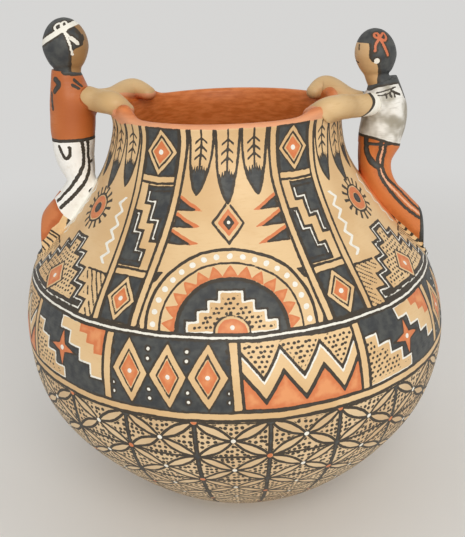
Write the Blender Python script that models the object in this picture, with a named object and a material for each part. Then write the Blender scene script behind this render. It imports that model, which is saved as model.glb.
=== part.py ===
"""Coil-built jar with two climbing figures for handles.

Metres, +Z up. The origin is the middle of the flat foot and Z is the jar's axis.
The figures cling to the shoulder at -X and +X and hold the rim with both hands.
The jar is cut into the courses that the potter adds one on another, and each
figure into the pieces of clay that are modelled and luted together.
"""
import math

import bmesh
import bpy
import numpy as np

# Jar, outside
FOOT_RADIUS = 0.042
BELLY_RADIUS = 0.125
BELLY_HEIGHT = 0.104
NECK_RADIUS = 0.0645
RIM_HEIGHT = 0.235
RIM_FLARE = 0.0012
RIM_COIL_HEIGHT = 0.009

# Jar, wall
WALL = 0.005
FLOOR = 0.007
LUTE_GAP = 0.0003

# Both figures: torso and head
WAIST_DEPTH = 0.0240
WAIST_BREADTH = 0.0260
TORSO_LENGTH = 0.0340
COLLAR_RADIUS = 0.0076

# Both figures: arms and legs
SHOULDER_DROP = 0.0115
ARM_RADIUS = 0.0062
HAND_RADIUS = 0.0060
FINGER_RADIUS = 0.0044
FINGER_LENGTH = 0.0075
FINGER_DROP = 0.0050
KNEE_RADIUS = 0.0076
SHIN_RADIUS = 0.0082
BOOT_RADIUS = 0.0090
BOOT_LIFT = 0.0050
SOLE_INSET = 0.0150

# Left figure: head, finger room to the neck, the belt's drop below the rim, the sole's drop as
# a share of the jar's rise from belly to rim, the knee's place as a share of the way from sole
# to belt, thickness of the seat, the knee's lift off the wall, the chest's bow away from the jar
# and the head's lean to it, and for each hand its lift over the rim and its reach round it
LEFT_HEAD_LENGTH = 0.0305
LEFT_HANDLE_GAP = 0.0127
LEFT_BELT_DROP = 0.0160
LEFT_SOLE_SHARE = 0.580
LEFT_KNEE_SHARE = 0.592
LEFT_SEAT_RADIUS = 0.0116
LEFT_KNEE_LIFT = 0.0100
LEFT_CHEST_BOW = -0.0012
LEFT_HEAD_LEAN = 0.0014
LEFT_NEAR_LIFT = 0.0050
LEFT_NEAR_REACH = math.radians(21)
LEFT_FAR_LIFT = 0.0061
LEFT_FAR_REACH = math.radians(28)

# Right figure, the same
RIGHT_HEAD_LENGTH = 0.0280
RIGHT_HANDLE_GAP = 0.0098
RIGHT_BELT_DROP = 0.0245
RIGHT_SOLE_SHARE = 0.626
RIGHT_KNEE_SHARE = 0.617
RIGHT_SEAT_RADIUS = 0.0100
RIGHT_KNEE_LIFT = 0.0055
RIGHT_CHEST_BOW = 0.0024
RIGHT_HEAD_LEAN = 0.0042
RIGHT_NEAR_LIFT = 0.0012
RIGHT_NEAR_REACH = math.radians(37)
RIGHT_FAR_LIFT = 0.0038
RIGHT_FAR_REACH = math.radians(25)

# Outside of the jar, each half's points as shares of its rise and of its change in radius
LOWER_PROFILE_SHARES = ((0.0, 0.0), (0.117, 0.298), (0.288, 0.548), (0.490, 0.761), (0.717, 0.929))
UPPER_PROFILE_SHARES = (
    (0.0, 0.0), (0.120, 0.010), (0.240, 0.070), (0.351, 0.205), (0.465, 0.420),
    (0.580, 0.635), (0.695, 0.815), (0.786, 0.922), (0.885, 0.985), (0.955, 1.0),
)
# Joints of the courses as shares of the rim's height
JOINT_SHARES = (0.20, 0.460, 0.617, 0.835)
# Torso, from the belt to the collar: shares of its length, depth, breadth and bow
TORSO_SHARES = (
    (0.00, 1.00, 1.00, 0.0), (0.15, 1.05, 1.00, 0.3), (0.37, 1.06, 0.98, 0.8), (0.58, 1.01, 0.98, 1.0),
    (0.76, 0.89, 0.93, 0.8), (0.89, 0.76, 0.78, 0.4), (1.00, 0.66, 0.62, 0.2),
)
# Head: depth and breadth as shares of its length, and how much the jaw is slimmed
HEAD_DEPTH_SHARE = 0.815
HEAD_BREADTH_SHARE = 0.78
JAW_SHARE = 0.16

ROUND_SEGMENTS = 64
HEAD_SIDES = 20
LIMB_SIDES = 14
LIMB_STATIONS = 11


def clear_scene():
    """Remove what the file opened with."""
    for obj in list(bpy.data.objects):
        bpy.data.objects.remove(obj, do_unlink=True)


def fired_clay(name, colour):
    """Slipped and stone-polished earthenware."""
    material = bpy.data.materials.new(name)
    material.use_nodes = True
    shader = material.node_tree.nodes["Principled BSDF"]
    shader.inputs["Base Color"].default_value = (*colour, 1.0)
    shader.inputs["Roughness"].default_value = 0.55
    shader.inputs["Metallic"].default_value = 0.0
    return material


def smooth_curve(points, count):
    """Natural cubic spline through points, evenly sampled along its chords."""
    points = np.asarray(points, float)
    chord = np.r_[0.0, np.cumsum(np.linalg.norm(np.diff(points, axis=0), axis=1))]
    step = np.diff(chord)
    size = len(points)
    system = np.eye(size)
    bend = np.zeros_like(points)
    for i in range(1, size - 1):
        system[i, i - 1 : i + 2] = step[i - 1], 2 * (step[i - 1] + step[i]), step[i]
        bend[i] = 6 * ((points[i + 1] - points[i]) / step[i] - (points[i] - points[i - 1]) / step[i - 1])
    bend = np.linalg.solve(system, bend)
    along = np.linspace(0.0, chord[-1], count)
    i = np.clip(np.searchsorted(chord, along) - 1, 0, size - 2)
    passed, ahead, span = (along - chord[i])[:, None], (chord[i + 1] - along)[:, None], step[i][:, None]
    curved = (bend[i] * ahead**3 + bend[i + 1] * passed**3) / (6 * span)
    before = (points[i] / span - bend[i] * span / 6) * ahead
    after = (points[i + 1] / span - bend[i + 1] * span / 6) * passed
    return curved + before + after


def jar_outside():
    """The jar's outside as (radius, height), from the foot's edge to the rim."""
    swelling, rise = BELLY_RADIUS - FOOT_RADIUS, RIM_HEIGHT - BELLY_HEIGHT
    closing = BELLY_RADIUS - NECK_RADIUS
    lower = [(FOOT_RADIUS + swelling * out, BELLY_HEIGHT * up) for up, out in LOWER_PROFILE_SHARES]
    upper = [(BELLY_RADIUS - closing * back, BELLY_HEIGHT + rise * up) for up, back in UPPER_PROFILE_SHARES]
    return smooth_curve(lower + upper + [(NECK_RADIUS + RIM_FLARE, RIM_HEIGHT)], 240)


def offset_profile(profile, distance):
    """Move a profile along its own normal, outward where the distance is above zero."""
    tangent = np.gradient(profile, axis=0)
    tangent /= np.linalg.norm(tangent, axis=1)[:, None]
    moved = profile + distance * np.c_[tangent[:, 1], -tangent[:, 0]]
    return moved[np.argsort(moved[:, 1])]


OUTSIDE = jar_outside()
INSIDE = offset_profile(OUTSIDE, -WALL)


def radius_at(profile, height):
    """Radius of a profile at a height."""
    return float(np.interp(height, profile[:, 1], profile[:, 0]))


def stretch(profile, low, high, rows):
    """Points of a profile between two heights, evenly spaced, the ends exactly on the heights."""
    place = np.arange(len(profile))
    even = np.linspace(*np.interp((low, high), profile[:, 1], place), rows)[1:-1]
    middle = [(np.interp(i, place, profile[:, 0]), np.interp(i, place, profile[:, 1])) for i in even]
    return [(radius_at(profile, low), low), *middle, (radius_at(profile, high), high)]


def as_piece(name, shape, material):
    """Turn a bmesh into a smooth-shaded object, with its faces pointing out."""
    bmesh.ops.recalc_face_normals(shape, faces=shape.faces)
    mesh = bpy.data.meshes.new(name)
    shape.to_mesh(mesh)
    shape.free()
    if material:
        mesh.materials.append(material)
    mesh.shade_smooth()
    mesh.set_sharp_from_angle(angle=math.radians(40))
    piece = bpy.data.objects.new(name, mesh)
    bpy.context.scene.collection.objects.link(piece)
    return piece


def as_guide(piece):
    """Keep a shape only as the cutter of others."""
    piece.hide_render = True
    piece.display_type = "WIRE"
    return piece


def turned(name, outline, material=None):
    """Spin a closed outline of (radius, height) once round the jar's axis."""
    shape = bmesh.new()
    verts = [shape.verts.new((radius, 0.0, height)) for radius, height in outline]
    edges = [shape.edges.new((verts[i - 1], verts[i])) for i in range(len(verts))]
    bmesh.ops.spin(
        shape, geom=verts + edges, cent=(0, 0, 0), axis=(0, 0, 1),
        angle=math.tau, steps=ROUND_SEGMENTS, use_merge=True, use_duplicate=False,
    )
    bmesh.ops.remove_doubles(shape, verts=shape.verts, dist=LUTE_GAP / 30)
    bmesh.ops.dissolve_degenerate(shape, edges=shape.edges, dist=LUTE_GAP / 30)
    return as_piece(name, shape, material)


def lofted(name, rings, material=None):
    """Skin rings of points one after another and close both ends."""
    shape = bmesh.new()
    loops = [[shape.verts.new(point) for point in ring] for ring in rings]
    for lower, upper in zip(loops, loops[1:]):
        for i in range(len(lower)):
            shape.faces.new((lower[i - 1], lower[i], upper[i], upper[i - 1]))
    shape.faces.new(loops[0])
    shape.faces.new(loops[-1])
    return as_piece(name, shape, material)


def block_guide(name, low, high):
    """A block between two corners, for flat cuts."""
    base = [(low[0], low[1]), (high[0], low[1]), (high[0], high[1]), (low[0], high[1])]
    return as_guide(lofted(name, [[(x, y, z) for x, y in base] for z in (low[2], high[2])]))


def cut(piece, *guides):
    """Take each guide's space out of a piece."""
    for guide in guides:
        modifier = piece.modifiers.new("cut_" + guide.name, "BOOLEAN")
        modifier.operation = "DIFFERENCE"
        modifier.solver = "EXACT"
        modifier.object = guide


def lip_points(outer, inner, height):
    """Half circle over the wall's top, without its two ends, from the outside to the inside."""
    middle, half = (outer + inner) / 2, (outer - inner) / 2
    turns = np.linspace(0.0, math.pi, 7)[1:-1]
    return [(middle + half * math.cos(turn), height + half * math.sin(turn)) for turn in turns]


def jar_courses():
    """The bowl and the coiled courses, with level joints a lute gap apart, and the lip."""
    courses = (
        # name, rows of points up the wall, slip colour
        ("base_bowl", 7, (0.60, 0.44, 0.25)),
        ("lower_wall", 6, (0.66, 0.48, 0.27)),
        ("belly_band", 5, (0.20, 0.20, 0.21)),
        ("shoulder_wall", 7, (0.72, 0.53, 0.30)),
        ("neck_wall", 6, (0.62, 0.46, 0.27)),
        ("rim_coil", 3, (0.62, 0.27, 0.12)),
    )
    crown = RIM_HEIGHT - WALL / 2
    joints = [0.0] + [RIM_HEIGHT * share for share in JOINT_SHARES] + [RIM_HEIGHT - RIM_COIL_HEIGHT, crown]
    for (name, rows, colour), low, high in zip(courses, joints, joints[1:]):
        low += LUTE_GAP / 2 if low > 0.0 else 0.0
        high -= LUTE_GAP / 2 if high < crown else 0.0
        outer = stretch(OUTSIDE, low, high, rows)
        inner = stretch(INSIDE, max(low, FLOOR), high, rows)[::-1]
        ends = lip_points(outer[-1][0], inner[0][0], high) if high == crown else []
        floor = [(0.0, FLOOR), (0.0, 0.0)] if low == 0.0 else []
        turned(name, outer + ends + inner + floor, fired_clay(name + "_slip", colour))


def jar_guides():
    """The jar's upper wall and its whole upper body, grown by the lute gap, to seat hands and legs."""
    crown = RIM_HEIGHT - WALL / 2
    outer = stretch(offset_profile(OUTSIDE, LUTE_GAP), BELLY_HEIGHT, crown, 24)
    inner = stretch(offset_profile(INSIDE, -LUTE_GAP), BELLY_HEIGHT, crown, 24)[::-1]
    wall = turned("wall_guide", outer + lip_points(outer[-1][0], inner[0][0], crown) + inner)
    body = turned("body_guide", outer + [(0.0, crown), (0.0, BELLY_HEIGHT)])
    return as_guide(wall), as_guide(body)


def oval(middle, depth, breadth, height):
    """A level oval ring at a distance along X, depth along X and breadth along Y."""
    turns = np.arange(HEAD_SIDES) * math.tau / HEAD_SIDES
    x = middle + depth / 2 * np.cos(turns)
    return np.c_[x, breadth / 2 * np.sin(turns), np.full(HEAD_SIDES, height)]


def limb(name, path, radii, material):
    """A tapering roll of clay along a path, with rounded ends."""
    path = smooth_curve(np.c_[path, radii], LIMB_STATIONS)
    centre, radius = path[:, :3], path[:, 3]
    along = np.gradient(centre, axis=0)
    along /= np.linalg.norm(along, axis=1)[:, None]
    stations = list(zip(centre, along, radius))
    for turn in np.radians((20, 45, 75)):
        sideways, forward = math.cos(turn), math.sin(turn)
        stations.insert(0, (centre[0] - along[0] * radius[0] * forward, along[0], radius[0] * sideways))
        stations.append((centre[-1] + along[-1] * radius[-1] * forward, along[-1], radius[-1] * sideways))
    turns = np.arange(LIMB_SIDES) * math.tau / LIMB_SIDES
    side = np.array((0.0, 1.0, 0.0))
    rings = []
    for point, ahead, size in stations:
        side = side - ahead * np.dot(side, ahead)
        side /= np.linalg.norm(side)
        round_it = np.outer(np.cos(turns), side) + np.outer(np.sin(turns), np.cross(ahead, side))
        rings.append(point + size * round_it)
    return lofted(name, rings, material)


def torso_rings(middle, bow, belt, grow):
    """Ovals from the belt to the collar, the whole grown all round by a clearance."""
    rings = []
    for up, deep, broad, bowed in TORSO_SHARES:
        depth, breadth = WAIST_DEPTH * deep + 2 * grow, WAIST_BREADTH * broad + 2 * grow
        height = belt - grow + (TORSO_LENGTH + 2 * grow) * up
        rings.append(oval(middle + math.copysign(1.0, middle) * bow * bowed, depth, breadth, height))
    return rings


def head_rings(middle, collar, length, lean):
    """Throat, jaw and egg-shaped skull, leaning toward the jar's axis."""
    centre = collar + length / 2
    rings = [oval(middle, 2 * COLLAR_RADIUS, 2 * COLLAR_RADIUS, collar + LUTE_GAP)]
    for turn in np.radians((-48, -32, -15, 3, 21, 39, 57, 72, 84)):
        level, up = math.cos(turn), math.sin(turn)
        level *= length * (1 + JAW_SHARE * min(0.0, up))
        x = middle - math.copysign(lean, middle) * (1 + up / 4)
        rings.append(oval(x, HEAD_DEPTH_SHARE * level, HEAD_BREADTH_SHARE * level, centre + length / 2 * up))
    return rings


def on_shoulder(side, height, across, lift):
    """Point lifted off the jar's outside at a height, and across from the figure's middle plane."""
    radius = radius_at(offset_profile(OUTSIDE, lift), height)
    return side * math.sqrt(radius**2 - across**2), across, height


def arm_path(side, across, shoulder_out, shoulder_height, reach, lift):
    """Shoulder, wrist, palm and fingers of an arm that hooks over the rim."""
    lip_radius = NECK_RADIUS + RIM_FLARE - WALL / 2
    crossing = side * math.cos(reach), across * math.sin(reach)
    shoulder = (side * shoulder_out, across * WAIST_BREADTH / 3, shoulder_height)
    palm = (crossing[0] * lip_radius, crossing[1] * lip_radius, RIM_HEIGHT + lift)
    wrist = [(upper + lower) / 2 for upper, lower in zip(shoulder, palm)]
    fingers = [place * (1 - FINGER_LENGTH / lip_radius) for place in palm[:2]]
    return [shoulder, wrist, palm, (*fingers, RIM_HEIGHT + lift - FINGER_DROP)]


def leg_path(side, across, waist_out, seat_radius, belt, knee, sole, knee_lift):
    """Hip, seat, knee, shin and boot of a leg that is pressed against the shoulder."""
    hip_across = across * (WAIST_BREADTH - WAIST_DEPTH) / 2
    seat_out = waist_out - WAIST_DEPTH / 2 + seat_radius
    return [
        (side * waist_out, hip_across, belt),
        (side * seat_out, hip_across + across * seat_radius / 5, belt - seat_radius),
        on_shoulder(side, knee, across * KNEE_RADIUS, knee_lift),
        on_shoulder(side, (knee + sole) / 2, across * SHIN_RADIUS, (knee_lift + BOOT_LIFT) / 2),
        on_shoulder(side, sole, across * BOOT_RADIUS, BOOT_LIFT),
    ]


def figure(
    label, side, wall, body, colours, head_length, handle_gap, belt_drop, sole_share, knee_share,
    seat_radius, knee_lift, bow, lean, near_lift, near_reach, far_lift, far_reach,
):
    """One climber: torso and head, and two arms and two legs that are seated on the jar."""
    slips = {part: fired_clay(f"{label}_{part}_slip", colour) for part, colour in colours.items()}
    belt, sole = RIM_HEIGHT - belt_drop, RIM_HEIGHT - (RIM_HEIGHT - BELLY_HEIGHT) * sole_share
    knee, collar = sole + (belt - sole) * knee_share, belt + TORSO_LENGTH
    waist_out = NECK_RADIUS + handle_gap + WAIST_DEPTH / 2
    middle = side * waist_out

    lofted(label + "_head", head_rings(middle, collar, head_length, lean), slips["hair"])
    lofted(label + "_torso", torso_rings(middle, bow, belt, 0.0), slips["shirt"])
    torso_guide = as_guide(lofted(label + "_torso_guide", torso_rings(middle, bow, belt, LUTE_GAP)))

    beyond, top = 2 * BELLY_RADIUS, 2 * RIM_HEIGHT
    belt_low, sole_out = belt - LUTE_GAP, BELLY_RADIUS - SOLE_INSET
    belt_guide = block_guide(label + "_belt_guide", (-beyond, -beyond, belt_low), (beyond, beyond, top))
    sole_low, sole_high = sorted((side * sole_out, side * beyond))
    sole_guide = block_guide(label + "_sole_guide", (sole_low, -beyond, 0.0), (sole_high, beyond, knee))
    shoulder_out = waist_out + bow - WAIST_DEPTH / 4
    for part, across, lift, reach in (("near", -1, near_lift, near_reach), ("far", 1, far_lift, far_reach)):
        arm = limb(
            f"{label}_{part}_arm",
            arm_path(side, across, shoulder_out, collar - SHOULDER_DROP, reach, lift),
            (ARM_RADIUS, ARM_RADIUS, HAND_RADIUS, FINGER_RADIUS), slips["skin"],
        )
        cut(arm, wall, torso_guide)
        leg = limb(
            f"{label}_{part}_leg",
            leg_path(side, across, waist_out, seat_radius, belt, knee, sole, knee_lift),
            (WAIST_DEPTH / 2, seat_radius, KNEE_RADIUS, SHIN_RADIUS, BOOT_RADIUS), slips["trousers"],
        )
        half_low, half_high = sorted((-across * beyond, across * LUTE_GAP / 2))
        half_guide = block_guide(
            f"{label}_{part}_half_guide", (-beyond, half_low, 0.0), (beyond, half_high, top)
        )
        cut(leg, half_guide, belt_guide, sole_guide, body)


def build():
    """Model the jar, then both figures on it."""
    clear_scene()
    jar_courses()
    wall, body = jar_guides()
    red, white, skin, hair = (0.50, 0.18, 0.06), (0.80, 0.77, 0.72), (0.68, 0.50, 0.28), (0.05, 0.055, 0.06)
    figure(
        "left", -1, wall, body, {"shirt": red, "trousers": white, "skin": skin, "hair": hair},
        LEFT_HEAD_LENGTH, LEFT_HANDLE_GAP, LEFT_BELT_DROP, LEFT_SOLE_SHARE, LEFT_KNEE_SHARE,
        LEFT_SEAT_RADIUS, LEFT_KNEE_LIFT, LEFT_CHEST_BOW, LEFT_HEAD_LEAN,
        LEFT_NEAR_LIFT, LEFT_NEAR_REACH, LEFT_FAR_LIFT, LEFT_FAR_REACH,
    )
    figure(
        "right", 1, wall, body, {"shirt": white, "trousers": red, "skin": skin, "hair": hair},
        RIGHT_HEAD_LENGTH, RIGHT_HANDLE_GAP, RIGHT_BELT_DROP, RIGHT_SOLE_SHARE, RIGHT_KNEE_SHARE,
        RIGHT_SEAT_RADIUS, RIGHT_KNEE_LIFT, RIGHT_CHEST_BOW, RIGHT_HEAD_LEAN,
        RIGHT_NEAR_LIFT, RIGHT_NEAR_REACH, RIGHT_FAR_LIFT, RIGHT_FAR_REACH,
    )


build()
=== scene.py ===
"""Coil-built, slip-painted jar with two climbing figures for handles.

Every size is in millimetres until a piece is made. +Z is up, -Y faces the viewer, and the
angle 0 of the painted design is at the viewer's side. The jar is made from the foot up, and
then each figure from its legs to its head.
"""
import functools
import math

import bpy
import numpy as np
from mathutils import Matrix, Vector


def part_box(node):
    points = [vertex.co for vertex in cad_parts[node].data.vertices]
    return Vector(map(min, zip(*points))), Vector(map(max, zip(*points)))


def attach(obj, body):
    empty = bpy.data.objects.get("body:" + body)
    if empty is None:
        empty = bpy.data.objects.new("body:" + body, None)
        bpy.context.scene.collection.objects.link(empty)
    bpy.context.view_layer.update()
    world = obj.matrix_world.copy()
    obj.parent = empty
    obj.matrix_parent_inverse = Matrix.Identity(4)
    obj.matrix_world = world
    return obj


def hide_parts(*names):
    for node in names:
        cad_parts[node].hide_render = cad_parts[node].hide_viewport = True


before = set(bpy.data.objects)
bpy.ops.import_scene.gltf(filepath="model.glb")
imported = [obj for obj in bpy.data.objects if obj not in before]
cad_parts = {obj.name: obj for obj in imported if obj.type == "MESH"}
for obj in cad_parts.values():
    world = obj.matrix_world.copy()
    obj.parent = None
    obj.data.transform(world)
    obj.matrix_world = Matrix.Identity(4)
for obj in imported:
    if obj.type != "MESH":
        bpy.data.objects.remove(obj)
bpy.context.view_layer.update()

# Studio: a plain pale table, one large soft lamp from the upper front right and an even pale
# sky, at a level where a colour renders about as it is written. The camera stands where the
# photographer's did: close, above the rim and looking down on the jar.
METRE = 0.001
TABLE_HALF, SWEEP_START, SWEEP_END = 6000.0, 260.0, 900.0
CAMERA_PLACE, CAMERA_DOWN, CAMERA_ROLL = (-0.9, -396.4, 291.6), math.radians(21.6), math.radians(2.0)
FOCAL_PIXELS, PICTURE_HEIGHT = 690.0, 537.0
LAMP_PLACE, LAMP_AIM, LAMP_SIZE, LAMP_WATTS = (190.0, -1150.0, 880.0), (0.0, 0.0, 140.0), 1100.0, 8.7
SKY_LEVEL, SKY_SEEN, SKY_COLOUR = 0.57, 0.70, "#fbfaf8"


def linear(code):
    """sRGB '#rrggbb' as linear light: c / 12.92 up to 0.04045, above it ((c + 0.055) / 1.055) ** 2.4."""
    part = [int(code[i : i + 2], 16) / 255 for i in (1, 3, 5)]
    return (*(c / 12.92 if c <= 0.04045 else ((c + 0.055) / 1.055) ** 2.4 for c in part), 1.0)


def node(tree, kind, inputs=(), out=0, **settings):
    """Add a node with its settings and give back one of its outputs. An input, by its number or
    name, is another node's output, which is linked, or a value, which is set."""
    made = tree.nodes.new("ShaderNode" + kind)
    for name, value in settings.items():
        setattr(made, name, value)
    for key, value in inputs.items() if isinstance(inputs, dict) else enumerate(inputs):
        if isinstance(value, bpy.types.NodeSocket):
            tree.links.new(value, made.inputs[key])
        else:
            made.inputs[key].default_value = value
    return made.outputs[out]


def new_material(name):
    """A material that holds only a Principled shader and its output."""
    material = bpy.data.materials.new(name)
    material.use_nodes = True
    return material, material.node_tree, material.node_tree.nodes["Principled BSDF"]


def seen_directly(tree):
    """1 for the camera's rays and for mirrored ones, 0 for those that only bring light."""
    rays = [node(tree, "LightPath", out=ray) for ray in ("Is Camera Ray", "Is Glossy Ray")]
    return node(tree, "Math", rays, operation="MAXIMUM")


# matt painted board, with a faint cloudiness so that the shadow doesn't fall on a dead flat tone.
# Away from the jar it passes into the sky's tone, as the sweep behind a studio table does.
board, tree, shader = new_material("matt_painted_board")
cloud = node(tree, "TexNoise", {"Scale": 5.0, "Detail": 2.0})
tone = node(tree, "Mix", {0: cloud, 6: linear("#efeeec"), 7: linear("#f5f4f2")}, 2, data_type="RGBA")
tree.links.new(tone, shader.inputs["Base Color"])
shader.inputs["Roughness"].default_value = 0.85
away = node(tree, "VectorMath", {0: node(tree, "TexCoord", out="Object")}, "Value", operation="LENGTH")
span = {"Value": away, "From Min": SWEEP_START * METRE, "From Max": SWEEP_END * METRE}
far_off = node(tree, "MapRange", span, interpolation_type="SMOOTHSTEP")
share = node(tree, "Math", (far_off, seen_directly(tree)), operation="MULTIPLY")
haze = node(tree, "Emission", {"Color": linear(SKY_COLOUR), "Strength": SKY_SEEN})
sweep = node(tree, "MixShader", (share, shader.outputs[0], haze))
tree.links.new(sweep, tree.nodes["Material Output"].inputs["Surface"])
half = TABLE_HALF * METRE
table_mesh = bpy.data.meshes.new("table_top")
corners = [(x * half, y * half, 0.0) for x, y in ((-1, -1), (1, -1), (1, 1), (-1, 1))]
table_mesh.from_pydata(corners, [], [(0, 1, 2, 3)])
table_mesh.materials.append(board)
table_top = bpy.data.objects.new("table_top", table_mesh)
bpy.context.scene.collection.objects.link(table_top)

sky = bpy.data.worlds.new("even_sky")
sky.use_nodes = True
light = sky.node_tree.nodes["Background"]
light.inputs["Color"].default_value = linear(SKY_COLOUR)
span = {"Value": seen_directly(sky.node_tree), "To Min": SKY_LEVEL, "To Max": SKY_SEEN}
sky.node_tree.links.new(node(sky.node_tree, "MapRange", span), light.inputs["Strength"])
bpy.context.scene.world = sky

lamp_data = bpy.data.lights.new("soft_lamp", "AREA")
lamp_data.shape, lamp_data.size, lamp_data.energy = "DISK", LAMP_SIZE * METRE, LAMP_WATTS
lamp_data.color = linear("#fffaf2")[:3]
lamp = bpy.data.objects.new("soft_lamp", lamp_data)
lamp_place, lamp_aim = Vector(LAMP_PLACE) * METRE, Vector(LAMP_AIM) * METRE
turned = (lamp_aim - lamp_place).to_track_quat("-Z", "Y").to_matrix().to_4x4()
lamp.matrix_world = Matrix.Translation(lamp_place) @ turned
bpy.context.scene.collection.objects.link(lamp)

camera_data = bpy.data.cameras.new("camera")
camera_data.sensor_width = 36.0
camera_data.lens = FOCAL_PIXELS / PICTURE_HEIGHT * camera_data.sensor_width
camera_data.clip_start, camera_data.clip_end = 10 * METRE, 50000 * METRE
forward = Vector((0.0, math.cos(CAMERA_DOWN), -math.sin(CAMERA_DOWN)))
level_right = Vector((1.0, 0.0, 0.0))
level_up = level_right.cross(forward)
right = level_right * math.cos(CAMERA_ROLL) - level_up * math.sin(CAMERA_ROLL)
turned = Matrix((right, right.cross(forward), -forward)).transposed().to_4x4()
camera = bpy.data.objects.new("camera", camera_data)
camera.matrix_world = Matrix.Translation(Vector(CAMERA_PLACE) * METRE) @ turned
bpy.context.scene.collection.objects.link(camera)
bpy.context.scene.camera = camera
bpy.context.scene.view_settings.view_transform = "Standard"

# Base bowl: the pinched bottom that the coils are built on, with the flat foot. It is
# earthenware under a tan slip, rubbed with a smooth stone before the design is painted. The
# petal lattice of the lower jar runs out on it, and the bottom is left plain.
COURSES = ("base_bowl", "lower_wall", "belly_band", "shoulder_wall", "neck_wall", "rim_coil")
BELLY_RADIUS, FLOOR_THICK, LINING_DEPTH = 125.0, 7.0, 5.0
LIP_START, LIP_TOP, PROFILE_POINTS, POLE_RADIUS = 232.4, 235.0, 2400, 1.0
SHARP_CORNER = math.radians(42)
COLUMNS, COLUMN_PHASE, COLUMN_LINE, ROW_LINE, ROW_SHARE, LATTICE_ROWS = 22, 0.6, 2.5, 1.5, 0.60, 8
PETAL_SHARE, PETAL_LINE, STIPPLE_PITCH, STIPPLE_RADIUS = 0.118, 1.6, 2.75, 0.95
LOWER_LINE_HEIGHT, STRIP_WIDTH, FRAME_LINE = 110.0, 3.0, 1.5
# the paints in the order in which one covers another, the distance at which one is far away, and
# the hair by which each goes under the next
PAINTS, BLANK, UNDERLAP = ("lining", "red", "white", "black"), 20.0, 0.2
LATTICE_PLACE = ("outside_lattice", "row", "column_drift")
# slump of the drying wall: how far it goes, and the heights between which it does
LEAN, LEAN_BACK, FOOT_LEAN, LIP_DIP = -2.2, 0.65, 2.3, 1.0
LEAN_SPAN, BACK_SPAN, FOOT_SPAN, FOOT_BACK_SPAN = (98, 160), (204, 234), (0, 24), (24, 88)
DIP_SPAN = (184, 230)
# clay of the boots on the wall: thickness on either side, height, and reach in mm and degrees
BOOT_CLAY, CLAY_HEIGHT, CLAY_TALL, CLAY_WIDE = ((-1, 2.5), (1, 1.6)), 149.0, 8.0, 26.0


def smooth_curve(points, count):
    """Natural cubic spline: on each span the bend goes evenly from one end's to the other's."""
    points = np.asarray(points, float)
    chord = np.r_[0.0, np.cumsum(np.linalg.norm(np.diff(points, axis=0), axis=1))]
    step, size = np.diff(chord), len(points)
    slope = np.diff(points, axis=0) / step[:, None]
    system = np.diag(np.r_[1.0, 2 * (step[:-1] + step[1:]), 1.0])
    inner = np.arange(1, size - 1)
    system[inner, inner - 1], system[inner, inner + 1] = step[:-1], step[1:]
    bend = np.linalg.solve(system, np.vstack((0 * points[:1], 6 * np.diff(slope, axis=0), 0 * points[:1])))
    along = np.linspace(0.0, chord[-1], count)
    i = np.clip(np.searchsorted(chord, along) - 1, 0, size - 2)
    passed, ahead, span = (along - chord[i])[:, None], (chord[i + 1] - along)[:, None], step[i][:, None]
    curved = (bend[i] * ahead**3 + bend[i + 1] * passed**3) / (6 * span)
    return curved + (points[i] / span - bend[i] * span / 6) * ahead + (
        points[i + 1] / span - bend[i + 1] * span / 6
    ) * passed


def wall_profile(outward):
    """(radius, height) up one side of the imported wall: a spline through the corners of the faces
    that look away from the jar's axis (outward 1) or to it (outward -1)."""
    found = []
    for name in COURSES:
        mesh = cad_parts[name].data
        place, corner = np.empty(3 * len(mesh.vertices), np.float32), np.empty(len(mesh.loops), np.int32)
        mesh.vertices.foreach_get("co", place)
        mesh.loops.foreach_get("vertex_index", corner)
        face = place.reshape(-1, 3)[corner].reshape(-1, 3, 3).astype(float) / METRE
        normal = np.cross(face[:, 1] - face[:, 0], face[:, 2] - face[:, 0])
        middle = face.mean(1)
        away = (normal * middle)[:, :2].sum(1)
        away /= np.linalg.norm(normal, axis=1) * np.linalg.norm(middle[:, :2], axis=1) + 1e-9
        kept = face[outward * away > 0.05].reshape(-1, 3)
        found.append(np.c_[np.hypot(kept[:, 0], kept[:, 1]), kept[:, 2]])
    found = np.vstack(found)
    found = found[found[:, 1] < LIP_START + 0.2]
    kept = np.unique(np.round(found[:, 1], 2), return_index=True)[1]
    return smooth_curve(found[kept], PROFILE_POINTS)


outside, inside = wall_profile(1), wall_profile(-1)
outside_arc, inside_arc = (
    np.r_[0.0, np.cumsum(np.linalg.norm(np.diff(side, axis=0), axis=1))] for side in (outside, inside)
)
# the same number of square cells goes round the jar at any height, so rows are counted in turns
outside_turns = np.r_[0.0, np.cumsum(np.diff(outside_arc) * 2 / (outside[1:, 0] + outside[:-1, 0]))]
LATTICE_TURNS = LATTICE_ROWS * ROW_SHARE * math.tau / COLUMNS
LATTICE_EDGE = np.interp(
    np.interp(LOWER_LINE_HEIGHT, outside[:, 1], outside_turns) - LATTICE_TURNS, outside_turns, outside_arc
)
boxes = [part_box(name) for name in COURSES]
joints = [(below[1].z / METRE + above[0].z / METRE) / 2 for below, above in zip(boxes, boxes[1:])]


def arc_at(height):
    """Way up the outside from the foot's edge to a height."""
    return np.interp(height, outside[:, 1], outside_arc)


def radius_at(arc):
    """Radius of the wall at a way up the outside."""
    return np.interp(arc, outside_arc, outside[:, 0])


def ripple(angle, arc):
    """Unevenness of a hand-built wall: slow waves (reach, times round, mm of way, start)."""
    waves = ((0.10, 3, 31, 0.6), (0.07, 5, -17, 2.1), (0.04, 11, 9, 4.0))
    return sum(reach * np.sin(times * angle + arc / length + start) for reach, times, length, start in waves)


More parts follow.
